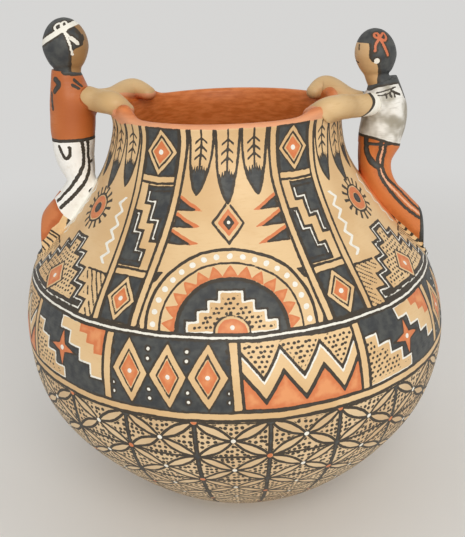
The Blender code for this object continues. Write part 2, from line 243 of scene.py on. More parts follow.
def waver(angle, arc, seed):
    """Drift of a freehand line: sines with whole numbers of waves round the jar, so it closes."""
    draw = np.random.default_rng(seed)
    drift = np.zeros(np.broadcast(angle, arc).shape)
    waves = ((9, 47, 0.22), (17, 29, 0.17), (31, 19, 0.12), (67, 9, 0.07), (113, 5.5, 0.05))
    for times, length, reach in waves:
        start = draw.uniform(0, math.tau, 2)
        drift += reach * np.sin(times * angle + start[0] + 1.7 * np.sin(arc / length + start[1]))
    return drift


def blank_slip(shape):
    """No paint yet: every colour is far away, in mm, at every point."""
    return {paint: np.full(shape, BLANK) for paint in PAINTS}


def lay(slip, paint, *shapes):
    """Paint where all the shapes overlap, each given as mm outside its edge (negative inside). It
    cuts every colour that would lie over it, and tan, the ground, cuts them all."""
    shape = functools.reduce(np.maximum, shapes)
    order = PAINTS.index(paint) if paint in PAINTS else -1
    for over in PAINTS[order + 1 :]:
        slip[over] = np.maximum(slip[over], -shape)
    if order >= 0:
        slip[paint] = np.minimum(slip[paint], shape - UNDERLAP)


def line(shape, width):
    """A brush line of that width along a shape's edge, less the hair that laying it adds."""
    return np.abs(shape) - width / 2 + UNDERLAP


def lattice_place(slip, angle, section):
    """Where each point lies in the petal lattice, for its material: mm outside it (the jar's whole
    inside is far out), rows down from the lower line, and by how many columns the upright lines
    are moved, which is the drift of the brush and a steady share."""
    arc = section[:, 2:3]
    wide, top = math.tau / COLUMNS, arc_at(LOWER_LINE_HEIGHT) - STRIP_WIDTH / 2 - FRAME_LINE
    turns = np.interp(top, outside_arc, outside_turns) - np.interp(arc, outside_arc, outside_turns)
    beyond = np.where(section[:, 3:] > 0.5, np.maximum(arc - top, LATTICE_EDGE - arc), BLANK)
    slip["outside_lattice"] = beyond + 0 * angle
    slip["row"] = (turns + waver(angle, arc, 2) / radius_at(arc)) / (wide * ROW_SHARE)
    slip["column_drift"] = waver(angle, arc, 1) / radius_at(arc) / wide + COLUMN_PHASE


def paint_lattice_edge(slip, angle, arc):
    """The dark line on which the lattice ends, above the foot."""
    lay(slip, "black", line(arc - LATTICE_EDGE, ROW_LINE))


def paint_lower_line(slip, angle, arc):
    """The two dark lines with a tan strip between them that part the lattice from the band."""
    way = arc - arc_at(LOWER_LINE_HEIGHT) + 0.8 * waver(angle, arc, 4)
    lay(slip, "black", np.abs(way) - STRIP_WIDTH / 2 - FRAME_LINE)
    lay(slip, "tan", np.abs(way) - STRIP_WIDTH / 2)


# what a word in a recipe adds: a kind of node, its inputs, its output and its settings. Other
# words are a Math node's operations, the common ones by their signs.
WORDS = {
    "mix": ("Mix", (0, 6, 7), 2, {"data_type": "RGBA"}),
    "ease": ("MapRange", range(5), 0, {"interpolation_type": "SMOOTHSTEP"}),
    "place": ("CombineXYZ", range(2), 0, {}),
    "net": ("TexVoronoi", ("Vector", "Scale", "Randomness"), 0, {"voronoi_dimensions": "2D"}),
}
SIGNS = {
    "+": "ADD", "-": "SUBTRACT", "*": "MULTIPLY", "/": "DIVIDE", "*+": "MULTIPLY_ADD", "root": "SQRT",
    "min": "MINIMUM", "max": "MAXIMUM",
}


def wire(tree, known, term):
    """Output for a term of a recipe. A name stands for what is known by it, and a tuple (word,
    terms) adds the word's node with the terms as its inputs. Anything else is a value."""
    if isinstance(term, str):
        return known[term]
    if not isinstance(term, tuple) or not isinstance(term[0], str):
        return term
    sum_node = ("Math", range(3), 0, {"operation": SIGNS.get(term[0], term[0])})
    kind, keys, out, settings = WORDS.get(term[0], sum_node)
    inputs = {key: wire(tree, known, part) for key, part in zip(keys, term[1:])}
    return node(tree, kind, inputs, out, **settings)


def hypotenuse(one, other):
    """Recipe for the root of the sum of two squares."""
    return "root", ("+", ("*", one, one), ("*", other, other))


# Lattice: a grid of thick upright and thin level lines. Each cell has a tan petal from its middle
# to each corner, half as wide at a share s of its way as s * (1 - s) times its length, and dots.
# Each colour's distance becomes the lesser of its own and the lattice's.
SLANT, DOT_SCALE = 1 + ROW_SHARE**2, math.tau * BELLY_RADIUS / COLUMNS / STIPPLE_PITCH
LATTICE = (
    ("column", ("*+", ("ARCTAN2", "x", ("*", "y", -1.0)), COLUMNS / math.tau, "column_drift")),
    ("radius", ("*", hypotenuse("x", "y"), 1 / METRE)),
    ("small", ("min", ("max", ("/", "radius", BELLY_RADIUS), 0.55), 1.0)),
    ("across", ("*", "radius", math.pi / COLUMNS)),
    # shares of half a cell, from its lines (0) to its middle (1), and the same in mm
    ("to_column", ("PINGPONG", ("*", "column", 2.0), 1.0)),
    ("to_row", ("PINGPONG", ("*", "row", 2.0), 1.0)),
    ("column_gap", ("*", "to_column", "across")),
    ("row_gap", ("*", ("*", "to_row", ROW_SHARE), "across")),
    ("off_x", ("-", 1.0, "to_column")),
    ("off_y", ("-", 1.0, "to_row")),
    ("share", ("/", ("*+", "off_y", ROW_SHARE**2, "off_x"), SLANT)),
    ("beside", ("*", ("ABSOLUTE", ("-", "off_x", "off_y")), ROW_SHARE / SLANT)),
    ("bulge", ("*", ("*", "share", ("-", 1.0, "share")), 4 * PETAL_SHARE)),
    ("petal", ("*", ("-", "beside", "bulge"), ("*", "across", math.sqrt(SLANT)))),
    ("knot", hypotenuse("column_gap", "row_gap")),
    ("middle_x", ("*", "off_x", "across")),
    ("middle_y", ("*", ("*", "off_y", ROW_SHARE), "across")),
    ("uprights", ("*+", "small", -COLUMN_LINE / 2, "column_gap")),
    ("lines", ("min", "uprights", ("*+", "small", -ROW_LINE / 2, "row_gap"))),
    ("lines", ("min", "lines", ("*+", "small", -PETAL_LINE / 2, ("ABSOLUTE", "petal")))),
    ("lines", ("min", "lines", ("*+", "small", -2.2, "knot"))),
    # the uprights thicken where they start under the lower line
    ("thick", ("min", ("*+", "outside_lattice", -2.2, -5.0), 4.0)),
    ("lines", ("min", "lines", ("+", "column_gap", "thick"))),
    # dots of a square net, each off its place, clear of the petals and lines
    ("dot_place", ("place", ("*", "column", DOT_SCALE), ("*", "row", DOT_SCALE * ROW_SHARE))),
    ("dots", ("*+", ("net", "dot_place", 1.0, 0.45), STIPPLE_PITCH, -STIPPLE_RADIUS)),
    ("dots", ("max", ("*", "dots", "small"), ("+", "small", ("*", "petal", -1.0)))),
    ("dots", ("max", "dots", ("+", "outside_lattice", 1.0))),
    # a white spot in each cell, and a red one on every other knot
    ("spot", ("*+", "small", -1.25, hypotenuse("middle_x", "middle_y"))),
    ("checker", ("FLOORED_MODULO", ("+", ("ROUND", "column"), ("ROUND", "row")), 2.0)),
    ("bead", ("max", ("*+", "small", -1.45, "knot"), ("*+", "checker", 9.0, -4.0))),
    ("clear", ("max", ("*", "bead", -1.0), ("*", "spot", -1.0))),
    ("ink", ("max", ("min", "dots", "lines"), "clear")),
    *(
        (paint, ("min", paint, ("max", shape, "outside_lattice")))
        for paint, shape in (("red", "bead"), ("white", "spot"), ("black", "ink"))
    ),
)
TONES = {
    "ground": "#efcd9b", "deep_ground": "#e0b985", "grit": "#6b4a2c",
    # lip_red: salmon of the lining's edge on the lip, thin slip and in part a painted highlight
    "lining_red": "#cb6d2c", "wiped_red": "#e38646", "lip_red": "#f2b48c",
    "full_red": "#dd7f4c", "thin_red": "#ee9f68", "full_white": "#fbf9ef", "worn_white": "#e4dfd3",
    "brown": "#3d3428", "charcoal": "#36393c", "smoky": "#505250",
}
# noises of a slip: mm across a wave, detail, roughness and how many times flatter than wide
NOISES = {
    "brush": (2.4, 2, 0.5, 1), "hairs": (0.7, 2, 0.5, 1), "streak": (5.0, 3, 0.5, 7),
    "grain": (0.55, 3, 0.7, 1), "rag": (7.0, 4, 0.5, 4), "pool": (3.0, 2, 0.5, 1),
    "chalk": (3.5, 4, 0.5, 1), "drag": (1.8, 2, 0.5, 1), "soot": (4.5, 4, 0.5, 1),
}
RELIEF, FIRED_CLAY_IOR = 0.13, 1.5
SLIP = (
    ("edge", ("+", ("ease", "brush", 0.3, 0.7, -0.09, 0.09), ("ease", "hairs", 0.3, 0.7, -0.03, 0.03))),
    *((paint + "_on", ("ease", ("+", paint, "edge"), -0.08, 0.08, 1.0, 0.0)) for paint in PAINTS),
    # tan slip: cloudy from the open fire, and faintly streaked round the jar by the polishing stone
    ("colour", ("mix", ("ease", "cloud", 0.35, 0.68), "ground", "deep_ground")),
    ("colour", ("mix", ("ease", "streak", 0.52, 0.75, 0.0, 0.35), "colour", "deep_ground")),
    ("gritty", ("mix", 0.5, "deep_ground", "grit")),
    ("colour", ("mix", ("ease", "grain", 0.66, 0.74, 0.0, 0.4), "colour", "gritty")),
    # lining: thick red slip, wiped on with a rag in level strokes. Near its edge on the lip it pales
    # to salmon, in part where the slip runs thin and in part as a painted highlight
    ("wiped", ("mix", ("ease", "rag", 0.3, 0.7), "lining_red", "wiped_red")),
    ("wiped", ("mix", ("ease", "lining", -4.2, -0.6, 0.0, 0.68), "wiped", "lip_red")),
    ("colour", ("mix", "lining_on", "colour", "wiped")),
    # red: it runs thin away from the brush, so it is strongest along the edges
    ("full", ("ease", ("+", "red", ("ease", "pool", 0.3, 0.7, -0.8, 0.8)), -4.2, -0.4)),
    ("colour", ("mix", "red_on", "colour", ("mix", "full", "thin_red", "full_red"))),
    # white: chalky and laid on thick
    ("worn", ("ease", "chalk", 0.45, 0.75, 0.0, 0.5)),
    ("colour", ("mix", "white_on", "colour", ("mix", "worn", "full_white", "worn_white"))),
    # black: plant and iron paint, brown where a line is thin and bluish charcoal where it is full
    ("full", ("ease", ("+", "black", ("ease", "drag", 0.3, 0.7, -0.25, 0.25)), -1.35, -0.5, 1.0, 0.0)),
    ("inner", ("mix", ("ease", "soot", 0.3, 0.7), "charcoal", "smoky")),
    ("colour", ("mix", "black_on", "colour", ("mix", "full", "brown", "inner"))),
    # polish: the stone leaves level facets with a soft gleam, and paint is duller than the ground
    ("dull", ("+", ("ease", "streak", 0.3, 0.7, 0.40, 0.54), ("ease", "grain", 0.4, 0.7, 0.0, 0.05))),
    ("dull", ("+", "dull", ("*", "white_on", 0.16))),
    ("dull", ("+", "dull", ("*", "black_on", 0.07))),
    ("relief", ("+", ("*", "streak", 0.5), ("*", "grain", 0.22))),
    ("relief", ("+", "relief", ("*", "white_on", 0.5))),
    ("relief", ("+", "relief", ("*", "black_on", 0.12))),
)


def painted_slip(name, motif=(), cloud=34.0, **tones):
    """Stone-polished earthenware with mineral slips on it. Each paint's attribute is the distance
    to its edge; it shows where that, shifted a little by noise as a brush does, is below zero."""
    material, tree, shader = new_material(name)
    known = {tone: linear(code) for tone, code in {**TONES, **tones}.items()}
    for attribute in PAINTS + (LATTICE_PLACE if motif else ()):
        known[attribute] = node(tree, "Attribute", out="Fac", attribute_name=attribute)
    place = node(tree, "TexCoord", out="Object")
    if motif:
        known["x"], known["y"] = (node(tree, "SeparateXYZ", {0: place}, axis) for axis in "XY")
    for noise, (size, detail, rough, flat) in {**NOISES, "cloud": (cloud, 2, 0.5, 1)}.items():
        where = node(tree, "Mapping", {"Vector": place, "Scale": (1, 1, flat)})
        wave = {"Vector": where, "Scale": 1 / (size * METRE), "Detail": detail, "Roughness": rough}
        known[noise] = node(tree, "TexNoise", wave)
    for step, term in motif + SLIP:
        known[step] = wire(tree, known, term)
    bump = node(tree, "Bump", {"Height": known["relief"], "Distance": RELIEF * METRE, "Strength": 0.9})
    for value, key in ((known["colour"], "Base Color"), (known["dull"], "Roughness"), (bump, "Normal")):
        tree.links.new(value, shader.inputs[key])
    shader.inputs["IOR"].default_value = FIRED_CLAY_IOR
    return material


def skin_grid(name, grid, slip, material, ring=False, strips=1):
    """Skin a grid of points (row, column, xyz). Columns go once round. With ring the rows close on
    themselves too, else each end closes on a pole. The bake's map lays the columns in strips."""
    rows, columns = grid.shape[:2]
    spans = rows if ring else rows - 1
    r, c = np.meshgrid(np.arange(spans), np.arange(columns), indexing="ij")
    corner = np.stack((r, r, (r + 1) % rows, (r + 1) % rows), -1) * columns
    corner += np.stack((c, (c + 1) % columns, (c + 1) % columns, c), -1)
    wide = np.linalg.norm(np.diff(np.concatenate((grid, grid[:1])), axis=0), axis=2).mean(1)[:spans]
    up = np.r_[0.0, np.cumsum(wide)] / wide.sum()
    left, strip, margin = c * strips / columns % 1, c * strips // columns, 0.004
    v_low, v_high = (
        (strip + margin * strips + (1 - 2 * margin * strips) * up[i]) / strips for i in (r, r + 1)
    )
    u_left, u_right = (margin + (1 - 2 * margin) * u for u in (left, left + strips / columns))
    u, v = np.stack((u_left, u_right, u_right, u_left), -1), np.stack((v_low, v_low, v_high, v_high), -1)
    corner, chart = corner.reshape(-1), np.stack((u, v), -1).reshape(-1, 2)
    starts = np.arange(0, len(corner), 4)
    points, values = grid.reshape(-1, 3), {paint: slip[paint].reshape(-1) for paint in slip}
    if not ring:
        side = np.arange(columns)
        after, last = (side + 1) % columns, (rows - 1) * columns
        fans = [np.stack((after, side, 0 * side + len(points)), -1)]
        fans.append(np.stack((last + side, last + after, 0 * side + len(points) + 1), -1))
        fan_chart = np.zeros((2, columns, 3, 2))
        fan_chart[..., 0] = margin + (1 - 2 * margin) * np.stack(((side + 1), side, side + 0.5), -1) / columns
        fan_chart[0, ..., 1], fan_chart[1, ..., 1] = margin, 1 - margin
        points = np.vstack((points, grid[0].mean(0), grid[-1].mean(0)))
        for paint, value in slip.items():
            values[paint] = np.r_[values[paint], value[0].mean(), value[-1].mean()]
        starts = np.r_[starts, len(corner) + np.arange(0, 6 * columns, 3)]
        corner = np.r_[corner, np.concatenate(fans).reshape(-1)]
        chart = np.vstack((chart, fan_chart.reshape(-1, 2)))
    mesh = bpy.data.meshes.new(name)
    mesh.vertices.add(len(points))
    mesh.vertices.foreach_set("co", (points * METRE).astype(np.float32).reshape(-1))
    mesh.loops.add(len(corner))
    mesh.loops.foreach_set("vertex_index", corner.astype(np.int32))
    mesh.polygons.add(len(starts))
    mesh.polygons.foreach_set("loop_start", starts.astype(np.int32))
    mesh.update(calc_edges=True)
    mesh.uv_layers.new(name="OFBake").data.foreach_set("uv", chart.astype(np.float32).reshape(-1))
    for paint, value in values.items():
        mesh.attributes.new(paint, "FLOAT", "POINT").data.foreach_set("value", value.astype(np.float32))
    mesh.materials.append(material)
    mesh.shade_smooth()
    mesh.set_sharp_from_angle(angle=SHARP_CORNER)
    made = bpy.data.objects.new(name + "_clay", mesh)
    bpy.context.scene.collection.objects.link(made)
    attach(made, "root")
    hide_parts(name)


def wall_ring(low, high, rows, columns, inner_rows=9):
    """Rows of (radius, height, way up the outside, 1 outside or 0 inside) round a course's section,
    up the outside and down the inside, and the angle of each column from the viewer's side."""
    outer_way = np.linspace(arc_at(low), arc_at(high), rows)
    inner_way = np.linspace(*np.interp((high, low), inside[:, 1], inside_arc), inner_rows)
    radius, height = (
        np.r_[np.interp(outer_way, outside_arc, outer), np.interp(inner_way, inside_arc, inner)]
        for outer, inner in zip(outside.T, inside.T)
    )
    way = np.r_[outer_way, arc_at(height[rows:])]
    section = np.c_[radius, height, way, np.r_[np.ones(rows), np.zeros(inner_rows)]]
    return section, (-math.pi + math.tau * np.arange(columns) / columns)[None]


def eased(value, low, high):
    """0 below low, 1 above high, and between them 3 t^2 - 2 t^3 of the share t of the way."""
    share = np.clip((value - low) / (high - low), 0, 1)
    return share * share * (3 - 2 * share)


def settled(points):
    """The soft wall sagged as it dried: its upper part went a little to the left and its lower
    part to the right, and the lip went down on the viewer's side and up behind, by the share of
    the radius that lies that way."""
    x, y, z = np.moveaxis(points, -1, 0)
    lean = LEAN * (eased(z, *LEAN_SPAN) - LEAN_BACK * eased(z, *BACK_SPAN))
    lean = lean + FOOT_LEAN * eased(z, *FOOT_SPAN) * (1 - eased(z, *FOOT_BACK_SPAN))
    sag = LIP_DIP * eased(z, *DIP_SPAN) * y / np.maximum(np.hypot(x, y), 1.0)
    return np.stack((x + lean, y, z + sag), -1)


def boot_clay(angle, height):
    """Clay of the boots smoothed out on the wall: on either side the thickness at its middle times
    e to the minus sum of (degrees / reach) squared and (mm of height / reach) squared."""
    thick = 0.0
    for side, middle in BOOT_CLAY:
        turned = (np.degrees(angle) - 90 * side + 180) % 360 - 180
        away = (turned / CLAY_WIDE) ** 2 + ((height - CLAY_HEIGHT) / CLAY_TALL) ** 2
        thick = thick + middle * np.exp(-away)
    return thick


def wall_points(section, angle):
    """Point at angle a on row k: ((R + ripple) * sin a, -(R + ripple) * cos a, height), settled.
    The radius outside has the boots' clay on it."""
    radius = section[:, :1] + ripple(angle, section[:, 2:3])
    radius += boot_clay(angle, section[:, 1:2]) * section[:, 3:]
    height = section[:, 1:2] + 0 * radius
    return settled(np.stack((radius * np.sin(angle), -radius * np.cos(angle), height), -1))


def dressed(section, angle, *designs):
    """Slips of a course: its designs, one over the other, and red over its whole inside."""
    slip = blank_slip((len(section), angle.size))
    for design in designs:
        design(slip, angle, section[:, 2:3])
    lay(slip, "lining", np.where(section[:, 3:] > 0.5, BLANK, -LINING_DEPTH) + 0 * angle)
    return slip


tan_slip = painted_slip("polished_tan_slip")
lattice_slip = painted_slip(
    "polished_tan_slip_with_lattice", LATTICE, ground="#e9cda3", deep_ground="#d9b88c"
)
section, angle = wall_ring(0.0, joints[0], 60, 540)
floor_height = boxes[0][0].z / METRE + FLOOR_THICK
foot = np.linspace(POLE_RADIUS, outside[0, 0] - 0.6, 7)
section = section[section[:, 1] > np.where(section[:, 3] > 0.5, -1.0, floor_height)]
inner_floor = np.linspace(np.interp(floor_height, inside[:, 1], inside[:, 0]), POLE_RADIUS, 5)
section = np.vstack((
    np.c_[foot, 0 * foot, 0 * foot, 1 + 0 * foot],
    section,
    np.c_[inner_floor, 0 * inner_floor + floor_height, 0 * inner_floor, 0 * inner_floor],
))
slip = dressed(section, angle, paint_lattice_edge)
lattice_place(slip, angle, section)
skin_grid("base_bowl", wall_points(section, angle), slip, lattice_slip)

# Lower wall: the first coiled course, thinned and drawn out to the belly. It carries the
# petal lattice in black and white on the tan slip, and the dark lines above it.
section, angle = wall_ring(joints[0], joints[1], 90, 720)
slip = dressed(section, angle, paint_lower_line)
lattice_place(slip, angle, section)
skin_grid("lower_wall", wall_points(section, angle), slip, lattice_slip, ring=True, strips=5)

# Belly band: the course of the widest part. A black-ground band of tan, red and white
# figures goes round it: a lightning ribbon, facing terraces and a row of diamonds.
UPPER_LINE_HEIGHT, CREAM_LINE, CHALK_LINE = 146.2, 1.1, 1.15
BAND_RADIUS, BAND_PANELS, POST_WIDTH, POST_LINE = 123.0, 12, 3.4, 1.3
RIBBON_SWING, RIBBON_HALF, RIBBON_SLOPE = 7.2, 3.7, 0.62


def speckle(x, y, pitch, radius):
    """Rows of round dots, every other row shifted, each dot a little off its place."""
    row = np.round(y / (0.87 * pitch))
    column = np.round(x / pitch - row % 2 / 2)
    drift = np.sin(12.9 * row + 78.2 * column + 3.0) * 0.11 * pitch
    dx, dy = x - (column + row % 2 / 2) * pitch - drift, y - row * 0.87 * pitch + 0.8 * drift
    return np.hypot(0.85 * dx, dy) - radius + UNDERLAP


def stairs(x, y, tread, rise, steps):
    """Stepped pyramid on the line y = 0 round x = 0: at each step the half width drops a tread."""
    shape = np.full(np.broadcast(x, y).shape, BLANK)
    for step in range(steps):
        block = np.maximum(np.abs(x) - tread * (steps - step), y - rise * (step + 1))
        shape = np.minimum(shape, np.maximum(block, -y))
    return shape


def diamond(x, y, wide, tall):
    """Distance to a diamond's sides: (|x| / wide + |y| / tall - 1) times the sides' distance."""
    return (np.abs(x) / wide + np.abs(y) / tall - 1) * wide * tall / math.hypot(wide, tall)


def jewel(x, y, ground, ring, heart, ring_line, dot):
    """Paints and shapes of a tan diamond with a dark ring, a red heart and a white dot."""
    return (
        ("tan", diamond(x, y, *ground)), ("black", line(diamond(x, y, *ring), ring_line)),
        ("red", diamond(x, y, *heart)), ("white", np.hypot(x, y) - dot),
    )


def saw(x, period):
    """Triangle wave from -1 to 1."""
    return 4 * np.abs(x / period - np.floor(x / period + 0.5)) - 1


def paint_band(slip, angle, arc):
    """Black ground between the framing lines, parted by tan posts into panels. Three kinds of
    panel follow each other round the jar."""
    low = arc_at(LOWER_LINE_HEIGHT) + STRIP_WIDTH / 2 + FRAME_LINE
    high = arc_at(UPPER_LINE_HEIGHT) - CREAM_LINE / 2 - FRAME_LINE
    wide, tall, radius = math.tau / BAND_PANELS, high - low, radius_at(arc)
    angle = angle + waver(angle, arc, 6) / radius
    number = np.floor(angle / wide)
    x = (angle - (number + 0.5) * wide) * radius
    y = arc - (low + high) / 2 + waver(angle, arc, 7)
    half = wide * radius / 2
    reach = half - POST_WIDTH / 2 - POST_LINE
    lay(slip, "black", np.abs(arc - (low + high) / 2) - tall / 2 - 1)

    def put(kind, paint, *shapes):
        lay(slip, paint, *shapes, np.abs(x) - reach + 0.4, np.where(number % 3 == kind, -BLANK, BLANK))

    # lightning ribbon between red and stippled peaks, three to a panel
    third = 2 * (wide * BAND_RADIUS / 2 - POST_WIDTH / 2 - POST_LINE) / 3
    crest = RIBBON_SWING * saw(x, third)
    put(0, "red", (y - crest + 7.0) * RIBBON_SLOPE, -y - tall / 2 + 0.6)
    peaks = np.maximum((crest + 7.0 - y) * RIBBON_SLOPE, y - tall / 2 + 0.6)
    put(0, "tan", peaks)
    put(0, "black", speckle(x, y, 2.6, 0.72), peaks + 0.9)
    put(0, "tan", (np.abs(y - crest) - RIBBON_HALF) * RIBBON_SLOPE)
    put(0, "white", line((y - crest - 3.9) * RIBBON_SLOPE, CHALK_LINE))
    # facing terraces, with a four-pointed star between them
    for side in (-1, 1):
        terrace = stairs(side * x + reach, side * y + tall / 2, 7.8, 6.2, 4)
        put(1, "tan", terrace + 0.2)
        put(1, "white", line(terrace, CHALK_LINE))
        put(1, "black", speckle(x, y, 2.8, 0.72), terrace + 2.4 + 9 * (side < 0))
        if side < 0:
            put(1, "red", stairs(side * x + reach, side * y + tall / 2, 5.6, 4.2, 3))
    put(1, "red", np.minimum(diamond(x, y, 9.5, 2.6), diamond(x, y, 2.6, 9.5)))
    put(1, "white", np.hypot(x, y) - 1.1)
    # diamonds in diamonds, with white dots above and below where they meet
    place, between = ((np.mod(x / third + start, 1) - 0.5) * third for start in (0.5, 0.0))
    sizes = ((third / 2 - gap, tall / 2 - end) for gap, end in ((0.6, 0.8), (4.2, 6.4), (5.4, 8.6)))
    for paint, shape in jewel(place, y, *sizes, 0.9, 0.95):
        put(2, paint, shape)
    dots = (np.hypot(between, np.abs(y) - tall / 2 + down) for down in (4.4, 9))
    put(2, "white", np.minimum(*dots) - 0.85)
    # posts
    post, band = half - np.abs(x), np.abs(y) - tall / 2
    lay(slip, "black", post - POST_WIDTH / 2 - POST_LINE, band)
    lay(slip, "tan", post - POST_WIDTH / 2, band)


def paint_upper_line(slip, angle, arc):
    """The white line between two dark ones that parts the band from the shoulder."""
    way = arc - arc_at(UPPER_LINE_HEIGHT) + 0.8 * waver(angle, arc, 8)
    lay(slip, "black", np.abs(way) - CREAM_LINE / 2 - FRAME_LINE)
    lay(slip, "white", np.abs(way) - CREAM_LINE / 2)


section, angle = wall_ring(joints[1], joints[2], 66, 1260)
slip = dressed(section, angle, paint_band, paint_lower_line, paint_upper_line)
skin_grid("belly_band", wall_points(section, angle), slip, tan_slip, ring=True, strips=5)

# Shoulder wall: the course that closes in over the belly. Its design runs on up the neck: six
# upright framed panels, and between them rainbow arches and stepped pyramids by turns, under
# a row of hanging feathers. The clay and paint of the legs are smeared onto it.
FIELDS, PANEL_HALF, PANEL_LINE, PANEL_STRIP = 6, 9.0, 1.4, 2.6
FEATHERS, FEATHER_LONG, FLAG_TALL, GEM_HEIGHT, SUN_HEIGHT, MIDDLE_HEIGHT = 3, 33.0, 7.6, 54.5, 53.0, 10.5
JEWEL_HEIGHT, LEVEL_LINE_HEIGHT, KEY_HEIGHT, SUN_RAYS = 12.4, 28.0, 29.4, 16
ARCHES = ((41.0, 1.6), (34.2, 1.1), (26.6, 1.2))
ARCH_DOTS, ARCH_TEETH, ARCH_DOT_LINE, ARCH_EDGE = 19, 13, 37.6, 43.6
# the clay rolls: half sizes of a leg from hip to sole, None where it is as wide as its seat
LEG_SIZES = ((12.0, 12.0), None, (7.6, 7.6), (8.2, 8.2), (9.0, 9.0))
WAIST_DEPTH, WAIST_BREADTH, TORSO_LONG, SOLE_LIFT, ROLL_BALLS = 24.0, 26.0, 34.0, 5.0, 28
# what differs between the left and the right figure, in mm and degrees
FIGURES = {
    "side": (-1, 1),
    # the torso's middle, and the heights of the belt, the knee and the sole
    "waist": (89.2, 86.3), "belt": (219.0, 210.5), "knee": (195.6, 188.5), "sole": (159.0, 153.0),
    # where the soles are cut, and how thick the seat is and how far it stands out
    "sole_plane": (110.5, 110.3), "seat": (10.6, 9.4), "seat_out": (1.6, 0.4),
    # how far the knees stand off the wall, the far one's addition, and the shins
    "knee_lift": (9.4, 5.5), "far_knee": (1.9, 0.0), "shin_lift": (8.5, 5.2),
    # the torso's bow away from the jar, and its collar's mean rise and slant
    "bow": (-1.2, 2.4), "collar": ((3.0, 0.7), (0.6, 2.1)),
    # the head's length and lean towards the jar
    "head_long": (30.5, 28.0), "lean": (1.4, 4.2),
    # the near and the far hand: height over the lip, degrees round it, and fingers' way inside it
    "lifts": ((5.0, 6.1), (1.2, 3.8)), "reaches": ((21.0, 28.0), (37.0, 25.0)),
    "tips": ((4.8, 10.0), (8.6, 5.6)),
    # the arms' shoulder ends: from the middle plane, in from the torso's middle, the far one's drop
    "shoulder_gap": (7.4, 8.6), "shoulder_in": (11.5, 9.5), "far_drop": (3.2, 1.8),
    # the trousers' paint, and how far it is smeared on the wall
    "trousers": ("white", "red"), "smear": (4.4, 3.0),
}
LEFT, RIGHT = ({field: pair[i] for field, pair in FIGURES.items()} for i in range(2))


def zigzag(x, y, reach, period, width, low, high):
    """An upright zigzag line from low to high that swings by reach."""
    swing = reach * saw(y, period)
    slope = 4 * reach / period
    return np.maximum((np.abs(x - swing) / math.hypot(1, slope)) - width / 2, np.maximum(low - y, y - high))


